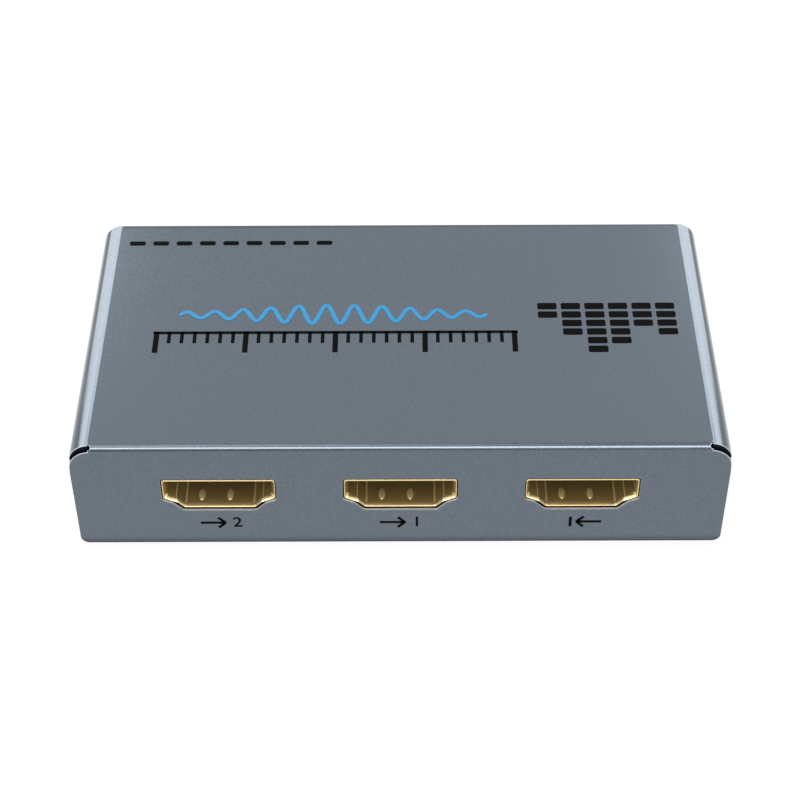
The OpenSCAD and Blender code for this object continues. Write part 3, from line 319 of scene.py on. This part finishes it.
def placed(piece, place, turn=(0, 0, 0)):
    """Puts a piece at its place and writes that into its mesh"""
    only(piece)
    piece.location = place
    piece.rotation_euler = turn
    bpy.ops.object.transform_apply(location=True, rotation=True, scale=True)
    return piece


def joined(name, pieces):
    only(*pieces)
    bpy.ops.object.join()
    pieces[0].name = name
    pieces[0].data.name = name
    return pieces[0]


def copied(piece, place):
    """Copy of a piece, with its own mesh, moved from the origin to a place"""
    twin = piece.copy()
    twin.data = piece.data.copy()
    bpy.context.collection.objects.link(twin)
    return placed(twin, place)


def merged_copy(node, name):
    """Copy of a CAD node's mesh with its doubles merged and its flat triangles joined"""
    piece = bpy.data.objects.new(name, frame["nodes"][node].data.copy())
    bpy.context.collection.objects.link(piece)
    only(piece)
    open_all()
    bpy.ops.mesh.remove_doubles(threshold=MERGE_WITHIN)
    bpy.ops.mesh.dissolve_limited(angle_limit=math.radians(FLAT_WITHIN))
    bpy.ops.mesh.select_all(action="DESELECT")
    close()
    return piece


def ease(piece, width, smooth=35, weighted=False, material=-1, clamped=True):
    """Small bevel along every sharp or weighted edge; flatter ones are shaded round"""
    bevel = piece.modifiers.new("ease", "BEVEL")
    bevel.width = width
    bevel.segments = 2
    bevel.limit_method = "WEIGHT" if weighted else "ANGLE"
    bevel.angle_limit = math.radians(EASE_ANGLE)
    bevel.use_clamp_overlap = clamped
    bevel.material = material
    only(piece)
    bpy.ops.object.modifier_apply(modifier="ease")
    bpy.ops.object.shade_smooth_by_angle(angle=math.radians(smooth))
    flat = piece.modifiers.new("flat", "WEIGHTED_NORMAL")
    flat.keep_sharp = True
    bpy.ops.object.modifier_apply(modifier="flat")


def put_materials(mesh, names):
    mesh.materials.clear()
    for name in names:
        mesh.materials.append(FINISHES[name])


def dress(piece, material, body):
    put_materials(piece.data, [material])
    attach(piece, body)


def middle_of(socket):
    """X of a video socket's middle"""
    low, high = SHELL_BOXES[socket]
    return (low[0] + high[0]) / 2


# Cover: the sheet, the cut-outs in its front and the relief slots at its corners
SHEET = 0.8 * MM
HOLE_SHEET = 1.1 * SHEET
CUT_SHEET = 1.3 * SHEET
CUT_SKIN = 0.04 * MM
CUT_TURN = 0.9
HOLE_LOW = 2 * MM
HOLE_HIGH = 16.6 * MM
WINDOW_LOW = BASE_Z + 4 * MM
WINDOW_PAST_SHELL = 1.5 * MM
WINDOW_HALF = 7.9 * MM
WINDOW_RIM = 0.34 * MM
SLOT_START = 39.4 * MM
SLOT_SIDE = 39.9 * MM
SLOT_REACH = 3 * MM
SLOT_DROP = 5 * MM
SLOT_RIM = 0.075 * MM
SLOT_TURN = 0.2
SHARP = 0.76
COVER_EDGE = 0.05 * MM
COVER_SMOOTH = 20
# Material indices: paint, painted shade on the cut faces, painted highlight on the rims
PAINTED, CUT_SHADE, RIM_HIGHLIGHT = range(3)


def from_end(place):
    """How far a point is from the nearer of the front and rear faces"""
    return min(place.y - FRONT_Y, REAR_Y - place.y)


def in_window(place):
    """True inside the box of one of the front cut-outs"""
    for socket, (low, high) in SHELL_BOXES.items():
        inside = abs(place.x - middle_of(socket)) < WINDOW_HALF
        if inside and WINDOW_LOW < place.z < high[2] + WINDOW_PAST_SHELL:
            return place.y < 0
    return False


def in_sheet_hole(place):
    """True on the outline of a hole in the front or rear flange"""
    inside = abs(place.x) < SLOT_SIDE and HOLE_LOW < place.z - BASE_Z < HOLE_HIGH
    return inside and from_end(place) < HOLE_SHEET


def at_corner_slot(place):
    """True on the outline of a relief slot at a corner of the box"""
    beside = abs(place.x) > SLOT_START and place.z > TOP_Z - SLOT_DROP
    return beside and from_end(place) < SLOT_REACH


def faces_out(ends, normals):
    """True on a short edge at the outer side of the sheet, by the normals of its two faces"""
    side, end = (math.copysign(1, ends[0][i]) for i in (0, 1))
    both = normals[0] + normals[1]
    outer = both.y * end > -SLOT_TURN and both.x * side + both.z > SLOT_TURN
    return outer and (ends[0] - ends[1]).length < SLOT_DROP


def weigh_borders(mesh, in_slots):
    """Marks the outer edges of the slots for the bevel, or the sharp edges past slots and holes"""
    weights = mesh.attributes.get("bevel_weight_edge")
    if weights is None:
        weights = mesh.attributes.new("bevel_weight_edge", "FLOAT", "EDGE")
    beside = {}
    for face in mesh.polygons:
        for key in face.edge_keys:
            beside.setdefault(key, []).append(face.normal)
    for edge in mesh.edges:
        normals = beside[edge.key]
        ends = [mesh.vertices[i].co for i in edge.vertices]
        marked = len(normals) == 2 and normals[0].dot(normals[1]) < SHARP
        marked = marked and not all(in_sheet_hole(end) for end in ends)
        marked = marked and all(at_corner_slot(end) for end in ends) == in_slots
        marked = marked and (not in_slots or faces_out(ends, normals))
        weights.data[edge.index].value = 1 if marked else 0


def dressed_cover():
    """The cover with painted shade on cut faces, painted highlights on the rims of cut-outs and slots, and eased
    edges
    """
    cover = merged_copy("top_cover", "cover")
    open_all()
    bpy.ops.mesh.bisect(plane_co=(0, FRONT_Y + WINDOW_RIM, 0), plane_no=(0, 1, 0))
    close()
    mesh = cover.data
    put_materials(mesh, ("case_paint", "cut_painted_shade", "rim_painted_highlight"))
    for face in mesh.polygons:
        middle = face.center
        behind = from_end(middle)
        at_window = in_window(middle)
        at_slot = abs(middle.x) > SLOT_SIDE and middle.z > TOP_Z - SLOT_DROP
        face.material_index = PAINTED
        # Cut faces of the slots and cut-outs are made near-black as painted shade, and a cut-out's front strip
        # near-white as painted highlight
        if CUT_SKIN < behind < CUT_SHEET:
            if at_slot or at_window and abs(face.normal.y) < CUT_TURN:
                face.material_index = RIM_HIGHLIGHT if at_window and behind < WINDOW_RIM else CUT_SHADE
    weigh_borders(mesh, True)
    # The bevel along the slots' outer edges takes the near-white painted highlight
    ease(cover, SLOT_RIM, COVER_SMOOTH, weighted=True, material=RIM_HIGHLIGHT, clamped=False)
    weigh_borders(mesh, False)
    ease(cover, COVER_EDGE, COVER_SMOOTH, weighted=True)
    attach(cover, "case")
    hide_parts("top_cover")


# Video sockets: the lip, the inside walls and the spring fingers of a shell
LIP_DEPTH = 0.92 * MM
LIP_FRONT = 0.32 * MM
LIP_ROUND = 0.035 * MM
THROAT_HALF = 7.05 * MM
THROAT_PAST = 0.1 * MM
SPRING_FACE = 0.7 * MM ** 2
FINGER_SHIFT = -0.6 * MM
FINGER_PITCH = 3.8 * MM
FINGER_DEPTH = 2.35 * MM
FINGER_SWELL = (0.44 * MM, 1.08 * MM, 0.235 * MM)
FINGER_SUNK = 0.1
PLATED, INSIDE_SHADE, SPRING_HIGHLIGHT, LIP_HIGHLIGHT = range(4)


def spring_dimple():
    """Long rounded swelling of a spring finger, standing up from the floor of the socket"""
    dimple = fresh(
        bpy.ops.mesh.primitive_uv_sphere_add, FINGER_SWELL, segments=24, ring_count=16, radius=1)
    open_all()
    bpy.ops.mesh.bisect(
        plane_co=(0, 0, -FINGER_SUNK * FINGER_SWELL[2]), plane_no=(0, 0, 1), clear_inner=True)
    bpy.ops.mesh.edge_face_add()
    bpy.ops.mesh.select_all(action="SELECT")
    bpy.ops.mesh.normals_make_consistent(inside=False)
    close()
    bpy.ops.object.shade_smooth()
    # Lighter gold of the swelling: painted highlight
    dimple.data.materials.append(FINISHES["gold_spring_highlight"])
    return dimple


def dressed_video_shell(socket):
    """Socket shell with a lighter lip and spring fingers as painted highlights, and darker inside walls as painted
    shade
    """
    shell = merged_copy(socket + "_shell", socket + "_sleeve")
    middle_x = middle_of(socket)
    floor_z, roof_z = (corner[2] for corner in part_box(socket + "_insulator"))
    mesh = shell.data
    put_materials(mesh, ("gold_plate", "gold_painted_shade", "gold_spring_highlight", "gold_lip_highlight"))
    # Faces deep in the throat get painted shade, small ones among them a painted highlight; faces at the mouth get
    # a lighter gold as painted highlight
    for face in mesh.polygons:
        x, y, z = face.center
        deep = y > FRONT_Y + LIP_DEPTH
        within = floor_z - THROAT_PAST < z < roof_z + THROAT_PAST
        if deep and within and abs(x - middle_x) < THROAT_HALF:
            face.material_index = SPRING_HIGHLIGHT if face.area < SPRING_FACE else INSIDE_SHADE
        else:
            face.material_index = PLATED if deep else LIP_HIGHLIGHT
    bpy.context.tool_settings.mesh_select_mode = (False, True, False)
    for edge in mesh.edges:
        edge.select = all(mesh.vertices[i].co.y < FRONT_Y + LIP_FRONT for i in edge.vertices)
    only(shell)
    bpy.ops.object.mode_set(mode="EDIT")
    bpy.ops.mesh.bevel(offset=LIP_ROUND, segments=2)
    close()
    bpy.context.tool_settings.mesh_select_mode = (True, False, False)
    ease(shell, EASE_FINE)
    dimple = spring_dimple()
    fingers_x = (middle_x + FINGER_SHIFT + side * FINGER_PITCH / 2 for side in (-1, 1))
    dimples = [copied(dimple, (x, FRONT_Y + FINGER_DEPTH, floor_z)) for x in fingers_x]
    bpy.data.objects.remove(dimple)
    shell = joined(socket + "_sleeve", [shell, *dimples])
    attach(shell, "case")
    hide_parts(socket + "_shell")


dressed_cover()
for socket in VIDEO_SOCKETS:
    dressed_video_shell(socket)


# Spring of the optical shutter
SPRING_WIRE = 0.1 * MM
SPRING_COIL = 0.52 * MM
SPRING_TURNS = 5.25
SPRING_STEPS = 20
SPRING_PITCH = 0.24 * MM
SPRING_START = 2.5 * SPRING_PITCH
SPRING_FRONT_LEG = 0.57 * MM
SPRING_BACK_LEG = 1.6 * MM
SPRING_LEG_ASIDE = 0.15 * MM
WIRE_SIDES = 10


def wire_leg(start, length, turn):
    """Straight end of the spring wire, from its middle line's start, with eased ends"""
    leg = fresh(
        bpy.ops.mesh.primitive_cylinder_add, vertices=WIRE_SIDES, radius=SPRING_WIRE, depth=length)
    open_all()
    bpy.ops.transform.translate(value=(0, 0, length / 2))
    close()
    ease(leg, EASE_FINE)
    return placed(leg, start, turn)


def shutter_spring():
    """Turns that stay on the pin, and a leg that goes with the shutter"""
    hinge = next(joint for joint in frame["joints"] if joint["name"] == "shutter_hinge")
    start = Vector(hinge["pos_m"]) + Vector((SPRING_START, 0, 0))
    turns = fresh(bpy.ops.mesh.primitive_circle_add, vertices=WIRE_SIDES, radius=SPRING_WIRE)
    placed(turns, (0, 0, SPRING_COIL), (math.pi / 2, 0, 0))
    screw = turns.modifiers.new("turns", "SCREW")
    screw.axis = "X"
    screw.angle = 2 * math.pi * SPRING_TURNS
    screw.screw_offset = -SPRING_PITCH * SPRING_TURNS
    screw.steps = screw.render_steps = round(SPRING_STEPS * SPRING_TURNS)
    only(turns)
    bpy.ops.object.modifier_apply(modifier="turns")
    open_all()
    bpy.ops.mesh.fill_holes(sides=WIRE_SIDES)
    bpy.ops.mesh.select_all(action="SELECT")
    bpy.ops.mesh.normals_make_consistent(inside=False)
    close()
    bpy.ops.object.shade_smooth_by_angle(angle=math.radians(ROUND_ANGLE))
    placed(turns, start)
    front = start + Vector((0, 0, SPRING_COIL))
    front_leg = wire_leg(front, SPRING_FRONT_LEG, (-math.pi / 2, 0, 0))
    coil = joined("shutter_spring_turns", [turns, front_leg])
    dress(coil, "zinc_steel", "case")
    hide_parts("optical_shutter_spring")
    back = start - Vector((SPRING_PITCH * SPRING_TURNS + SPRING_LEG_ASIDE, SPRING_COIL, 0))
    leg = wire_leg(back, SPRING_BACK_LEG, (math.pi, 0, 0))
    leg.name = "shutter_spring_leg"
    dress(leg, "zinc_steel", "shutter")


shutter_spring()


# Printing: how far it stands out, and how deep it starts under the paint
PRINT_PROUD = 0.015 * MM
PRINT_DEPTH = 0.02 * MM


def bar_mark(width, depth, corner, cuts=0):
    """Flat rectangular mark with rounded corners, centred on the origin, as thick as the ink"""
    mark = fresh(bpy.ops.mesh.primitive_plane_add, (width, depth, 1), size=1)
    open_all()
    bpy.ops.mesh.bevel(offset=corner, segments=3, affect="VERTICES")
    bpy.ops.mesh.select_all(action="SELECT")
    bpy.ops.mesh.extrude_region_move(
        TRANSFORM_OT_translate={"value": (0, 0, PRINT_DEPTH + PRINT_PROUD)})
    bpy.ops.mesh.select_all(action="SELECT")
    bpy.ops.transform.translate(value=(0, 0, -PRINT_DEPTH))
    bpy.ops.mesh.normals_make_consistent(inside=False)
    for cut in range(1, cuts):
        bpy.ops.mesh.select_all(action="SELECT")
        bpy.ops.mesh.bisect(plane_co=(width * (cut / cuts - 0.5), 0, 0), plane_no=(1, 0, 0))
    close()
    return mark


# Printing on the top
METER_FIRST_X = 20.59 * MM
METER_FIRST_Y = 4.466 * MM
METER_COLUMNS = (2, 4, 6, 5, 3, 4)
METER_PITCH = 3.3 * MM
METER_ROW = 1.78 * MM
METER_MARK = (2.7 * MM, 1.3 * MM, 0.25 * MM)


def meter_print():
    """Columns of black blocks like a level meter, which stand with their feet to the rear"""
    mark = bar_mark(*METER_MARK)
    marks = []
    for column, rows in enumerate(METER_COLUMNS):
        for row in range(rows):
            x = METER_FIRST_X + METER_PITCH * column
            y = MID_Y + METER_FIRST_Y - METER_ROW * row
            marks.append(copied(mark, (x, y, TOP_Z)))
    bpy.data.objects.remove(mark)
    return joined("meter_print", marks)


SCALE_LEFT = -34.1 * MM
SCALE_RIGHT = 16.3 * MM
SCALE_LOW = -4.9 * MM
SCALE_HIGH = -0.6 * MM
SCALE_STEPS = 28
SCALE_LONG_EVERY = 7
SCALE_LINE = 0.5 * MM
SCALE_LONG_LINE = 0.75 * MM
SCALE_SHORT = 0.55
SCALE_CORNER = 0.1 * MM


def scale_print():
    """Black scale with long and short strokes under one line"""
    length = SCALE_RIGHT - SCALE_LEFT
    tall = SCALE_HIGH - SCALE_LOW
    rule = bar_mark(length, SCALE_LINE, SCALE_CORNER)
    rule_y = MID_Y + SCALE_HIGH - SCALE_LINE / 2
    marks = [placed(rule, ((SCALE_LEFT + SCALE_RIGHT) / 2, rule_y, TOP_Z))]
    for is_long in (True, False):
        width = SCALE_LONG_LINE if is_long else SCALE_LINE
        height = tall if is_long else tall * SCALE_SHORT
        stroke = bar_mark(width, height, SCALE_CORNER)
        for step in range(SCALE_STEPS + 1):
            if (step % SCALE_LONG_EVERY == 0) == is_long:
                x = SCALE_LEFT + SCALE_LINE + (length - 2 * SCALE_LINE) * step / SCALE_STEPS
                marks.append(copied(stroke, (x, MID_Y + SCALE_HIGH - height / 2, TOP_Z)))
        bpy.data.objects.remove(stroke)
    return joined("scale_print", marks)


WAVE_LEFT = -30.7 * MM
WAVE_RIGHT = 12.1 * MM
WAVE_Y = 2.85 * MM
WAVE_HEIGHT = 1.95 * MM
WAVE_LEAST = 0.3
WAVE_LINE = 0.62 * MM
WAVE_CORNER = 0.1 * MM
WAVE_TURNS = 11
WAVE_CUTS = 220


def wave_print():
    """Blue wave line that swells in the middle"""
    length = WAVE_RIGHT - WAVE_LEFT
    line = bar_mark(length, WAVE_LINE, WAVE_CORNER, cuts=WAVE_CUTS)
    for corner in line.data.vertices:
        share = (corner.co.x + length / 2) / length
        turn = 2 * math.pi * WAVE_TURNS * share
        swell = WAVE_LEAST + (1 - WAVE_LEAST) * math.sin(math.pi * share) ** 2
        slope = 2 * math.pi * WAVE_TURNS / length * WAVE_HEIGHT * swell * math.cos(turn)
        steep = math.hypot(1, slope)
        side = corner.co.y
        corner.co.x -= side * slope / steep
        corner.co.y = side / steep + WAVE_HEIGHT * swell * math.sin(turn)
    line.name = "wave_print"
    return placed(line, ((WAVE_LEFT + WAVE_RIGHT) / 2, MID_Y + WAVE_Y, TOP_Z))


DASH_LEFT = -39.25 * MM
DASH_RIGHT = -9.8 * MM
DASH_Y = 18.65 * MM
DASH_COUNT = 9
DASH_MARK = (2.3 * MM, 0.8 * MM, 0.3 * MM)


def dash_print():
    """Row of small black dashes near the rear"""
    mark = bar_mark(*DASH_MARK)
    pitch = (DASH_RIGHT - DASH_LEFT - DASH_MARK[0]) / (DASH_COUNT - 1)
    first_x = DASH_LEFT + DASH_MARK[0] / 2
    places = [(first_x + pitch * i, MID_Y + DASH_Y, TOP_Z) for i in range(DASH_COUNT)]
    marks = [copied(mark, place) for place in places]
    bpy.data.objects.remove(mark)
    return joined("dash_print", marks)


# Printing under the video sockets
MARK_Z = 5.4 * MM
MARK_LINE = 0.42 * MM
MARK_CORNER = 0.05 * MM
ARROW_LENGTH = 3.4 * MM
BARB_LENGTH = 1.375 * MM
BARB_TURN = math.pi / 4
OUT_ARROW_X = -1.1 * MM
NUMBER_X = 2.2 * MM
NUMBER_SIZE = 2.698 * MM
NUMBER_BOLD = 0.03 * MM
NUMBER_MERGE = 0.0001 * MM
IN_ARROW_X = 1.2 * MM
BAR_X = -1.3 * MM
BAR_HEIGHT = 1.9 * MM
UPRIGHT = (math.pi / 2, 0, 0)


def arrow_mark(way, x):
    """Flat arrow with its middle at X; it points to the right for a way of 1, or left for -1"""
    reach = BARB_LENGTH / 2 * math.cos(BARB_TURN)
    pieces = [bar_mark(ARROW_LENGTH, MARK_LINE, MARK_CORNER)]
    for side in (-1, 1):
        barb = bar_mark(BARB_LENGTH, MARK_LINE, MARK_CORNER)
        place = (way * (ARROW_LENGTH / 2 - reach), side * reach, 0)
        pieces.append(placed(barb, place, (0, 0, -way * side * BARB_TURN)))
    return placed(joined("arrow", pieces), (x, 0, 0))


def number_mark(digit):
    """Flat number, centred on the origin"""
    number = fresh(bpy.ops.object.text_add)
    number.data.body = digit
    number.data.size = NUMBER_SIZE
    number.data.align_x = "CENTER"
    number.data.align_y = "CENTER"
    number.data.extrude = (PRINT_DEPTH + PRINT_PROUD) / 2
    number.data.offset = NUMBER_BOLD
    only(number)
    bpy.ops.object.convert(target="MESH")
    number = bpy.context.object
    open_all()
    bpy.ops.mesh.remove_doubles(threshold=NUMBER_MERGE)
    bpy.ops.transform.translate(value=(0, 0, (PRINT_PROUD - PRINT_DEPTH) / 2))
    close()
    return number


def socket_prints():
    """An arrow and a number under each output, and an arrow that points at a bar under the input"""
    for socket, digit in zip(VIDEO_SOCKETS, ("2", "1", None)):
        if digit:
            marks = [arrow_mark(1, OUT_ARROW_X), placed(number_mark(digit), (NUMBER_X, 0, 0))]
        else:
            arrow = arrow_mark(-1, IN_ARROW_X)
            marks = [arrow, placed(bar_mark(MARK_LINE, BAR_HEIGHT, MARK_CORNER), (BAR_X, 0, 0))]
        piece = joined(socket + "_mark", marks)
        placed(piece, (middle_of(socket), FRONT_Y, MARK_Z), UPRIGHT)
        dress(piece, "print_black", "case")


for piece in (meter_print(), scale_print(), dash_print()):
    dress(piece, "print_black", "case")
dress(wave_print(), "print_blue", "case")
socket_prints()


# Stage and sky
FLOOR_SIZE = 6
FLOOR_COLOUR = (0.86, 0.86, 0.86, 1)
FLOOR_ROUGHNESS = 0.9
FLOOR_GLOW = 1.06
FLOOR_GLOW_SHARE = 0.90
# Brightness of the floor in reflections, by the distance from the box as a share of the reach: painted shade right
# beside the box and far from it
FLOOR_REACH = 0.2
FLOOR_STEPS = ((0.0070, 0.25), (0.0105, 1.0), (0.20, 1.0), (0.40, 0.45), (1.0, 0.2))
SKY_COLOUR = (0.95, 0.97, 1, 1)
SKY_SOFT = 0.62
# Brightness of the sky in reflections, by the height of the ray
SKY_STEPS = ((0.0, 0.22), (0.20, 0.25), (0.45, 1.0), (0.93, 1.0), (0.99, 0.7))


def stepped(tree, share, steps, spare):
    """Grey ramp with these steps; one of the two stops that a new ramp has goes"""
    ramp = add(tree, "ShaderNodeValToRGB")
    stops = ramp.color_ramp.elements
    for place, level in steps:
        stops.new(place).color = (level, level, level, 1)
    stops.remove(stops[spare])
    tree.links.new(share, ramp.inputs["Fac"])
    return ramp.outputs["Color"]


def mixed(tree, share, first, second):
    """Shader that goes from the first to the second as the share goes from 0 to 1"""
    made = add(tree, "ShaderNodeMixShader")
    for socket, source in zip(made.inputs, (share, first, second)):
        tree.links.new(source, socket)
    return made.outputs[0]


def seen_straight(tree, rays):
    """1 for rays from the camera and rays through clear pieces"""
    return maths(tree, "MAXIMUM", rays["Is Camera Ray"], rays["Is Transmission Ray"])


def white_stage():
    """Pale floor, white to the camera with a soft shadow; in reflections a glow with painted shade right beside
    the box and far from it
    """
    floor = fresh(bpy.ops.mesh.primitive_plane_add, size=FLOOR_SIZE)
    floor.name = "floor"
    material = bpy.data.materials.new("floor")
    material.use_nodes = True
    tree = material.node_tree
    shader = tree.nodes["Principled BSDF"]
    shader.inputs["Base Color"].default_value = FLOOR_COLOUR
    shader.inputs["Roughness"].default_value = FLOOR_ROUGHNESS
    glow = add(tree, "ShaderNodeEmission")
    glow.inputs["Strength"].default_value = FLOOR_GLOW
    rays = add(tree, "ShaderNodeLightPath").outputs
    past = add(tree, "ShaderNodeNewGeometry").outputs["Position"]
    past = maths(tree, "SUBTRACT", past, (0, MID_Y, 0), kind=VECTOR)
    past = maths(tree, "ABSOLUTE", past, kind=VECTOR)
    past = maths(tree, "SUBTRACT", past, (COVER_HIGH[0], REAR_Y - MID_Y, 0), kind=VECTOR)
    past = maths(tree, "MAXIMUM", past, (0, 0, 0), kind=VECTOR)
    past = maths(tree, "LENGTH", past, kind=VECTOR, output="Value")
    past = maths(tree, "DIVIDE", past, FLOOR_REACH)
    # In reflections the floor is a glow with painted shade, stepped by the distance from the box
    painted_reflection = add(tree, "ShaderNodeEmission")
    tree.links.new(stepped(tree, past, FLOOR_STEPS, -1), painted_reflection.inputs["Color"])
    share = maths(tree, "MULTIPLY", seen_straight(tree, rays), FLOOR_GLOW_SHARE)
    surface = mixed(tree, share, shader.outputs[0], glow.outputs[0])
    surface = mixed(tree, rays["Is Glossy Ray"], surface, painted_reflection.outputs[0])
    tree.links.new(surface, tree.nodes["Material Output"].inputs["Surface"])
    floor.data.materials.append(material)


def sky():
    """White to the camera and in reflections from above, darker near the horizon in them"""
    world = bpy.data.worlds.new("studio")
    bpy.context.scene.world = world
    world.use_nodes = True
    tree = world.node_tree
    soft = tree.nodes["Background"]
    soft.inputs["Color"].default_value = SKY_COLOUR
    soft.inputs["Strength"].default_value = SKY_SOFT
    way = add(tree, "ShaderNodeTexCoord")
    height = add(tree, "ShaderNodeSeparateXYZ")
    tree.links.new(way.outputs["Generated"], height.inputs[0])
    mirrored = add(tree, "ShaderNodeBackground")
    tree.links.new(stepped(tree, height.outputs["Z"], SKY_STEPS, 0), mirrored.inputs["Color"])
    white = add(tree, "ShaderNodeBackground")
    white.inputs["Color"].default_value = (1, 1, 1, 1)
    rays = add(tree, "ShaderNodeLightPath").outputs
    surface = mixed(tree, rays["Is Glossy Ray"], soft.outputs[0], mirrored.outputs[0])
    surface = mixed(tree, seen_straight(tree, rays), surface, white.outputs[0])
    tree.links.new(surface, tree.nodes["World Output"].inputs["Surface"])


# Lamps: name, place, the point each looks at, size, power, and whether only reflections show it
LAMPS = (
    ("key", (-0.25, -0.20, 0.80), (0, 0, 0), (0.5, 0.5), 1.2, False),
    ("strip", (0, -0.485, 0.363), (0, 0, 0.01), (1.3, 0.26), 5.9, True),
    ("left low", (-0.354, 0.545, 0.245), (0, 0, 0.01), (0.36, 0.49), 1.8, True),
    ("right low", (0.354, 0.545, 0.245), (0, 0, 0.01), (0.36, 0.49), 1.8, True),
)
# Camera: place, tilt down, small turns, and lens on its sensor
CAMERA_PLACE = Vector((0.34 * MM, MID_Y - 200.20 * MM, BASE_Z + 197.35 * MM))
CAMERA_PITCH = math.radians(43.94)
CAMERA_YAW = math.radians(0.11)
CAMERA_ROLL = math.radians(-0.275)
CAMERA_LENS = 87.20
CAMERA_SENSOR = 36
CAMERA_NEAR = 0.01


def panel(name, place, aim, size, power, mirrored_only):
    """Soft lamp: a lit rectangle that looks at a point"""
    lamp = bpy.data.lights.new(name, "AREA")
    lamp.shape = "RECTANGLE"
    lamp.size, lamp.size_y = size
    lamp.energy = power
    stand = bpy.data.objects.new(name, lamp)
    bpy.context.collection.objects.link(stand)
    stand.location = place
    stand.rotation_euler = (Vector(aim) - Vector(place)).to_track_quat("-Z", "Y").to_euler()
    stand.visible_diffuse = not mirrored_only


def camera():
    made = bpy.data.cameras.new("camera")
    made.lens = CAMERA_LENS
    made.sensor_width = CAMERA_SENSOR
    made.clip_start = CAMERA_NEAR
    holder = bpy.data.objects.new("camera", made)
    bpy.context.collection.objects.link(holder)
    turned = (
        Matrix.Rotation(CAMERA_YAW, 4, "Z")
        @ Matrix.Rotation(math.pi / 2 - CAMERA_PITCH, 4, "X")
        @ Matrix.Rotation(CAMERA_ROLL, 4, "Z")
    )
    holder.matrix_world = Matrix.Translation(CAMERA_PLACE) @ turned
    bpy.context.scene.camera = holder


white_stage()
sky()
camera()
for lamp in LAMPS:
    panel(*lamp)
bpy.context.scene.view_settings.view_transform = "Standard"
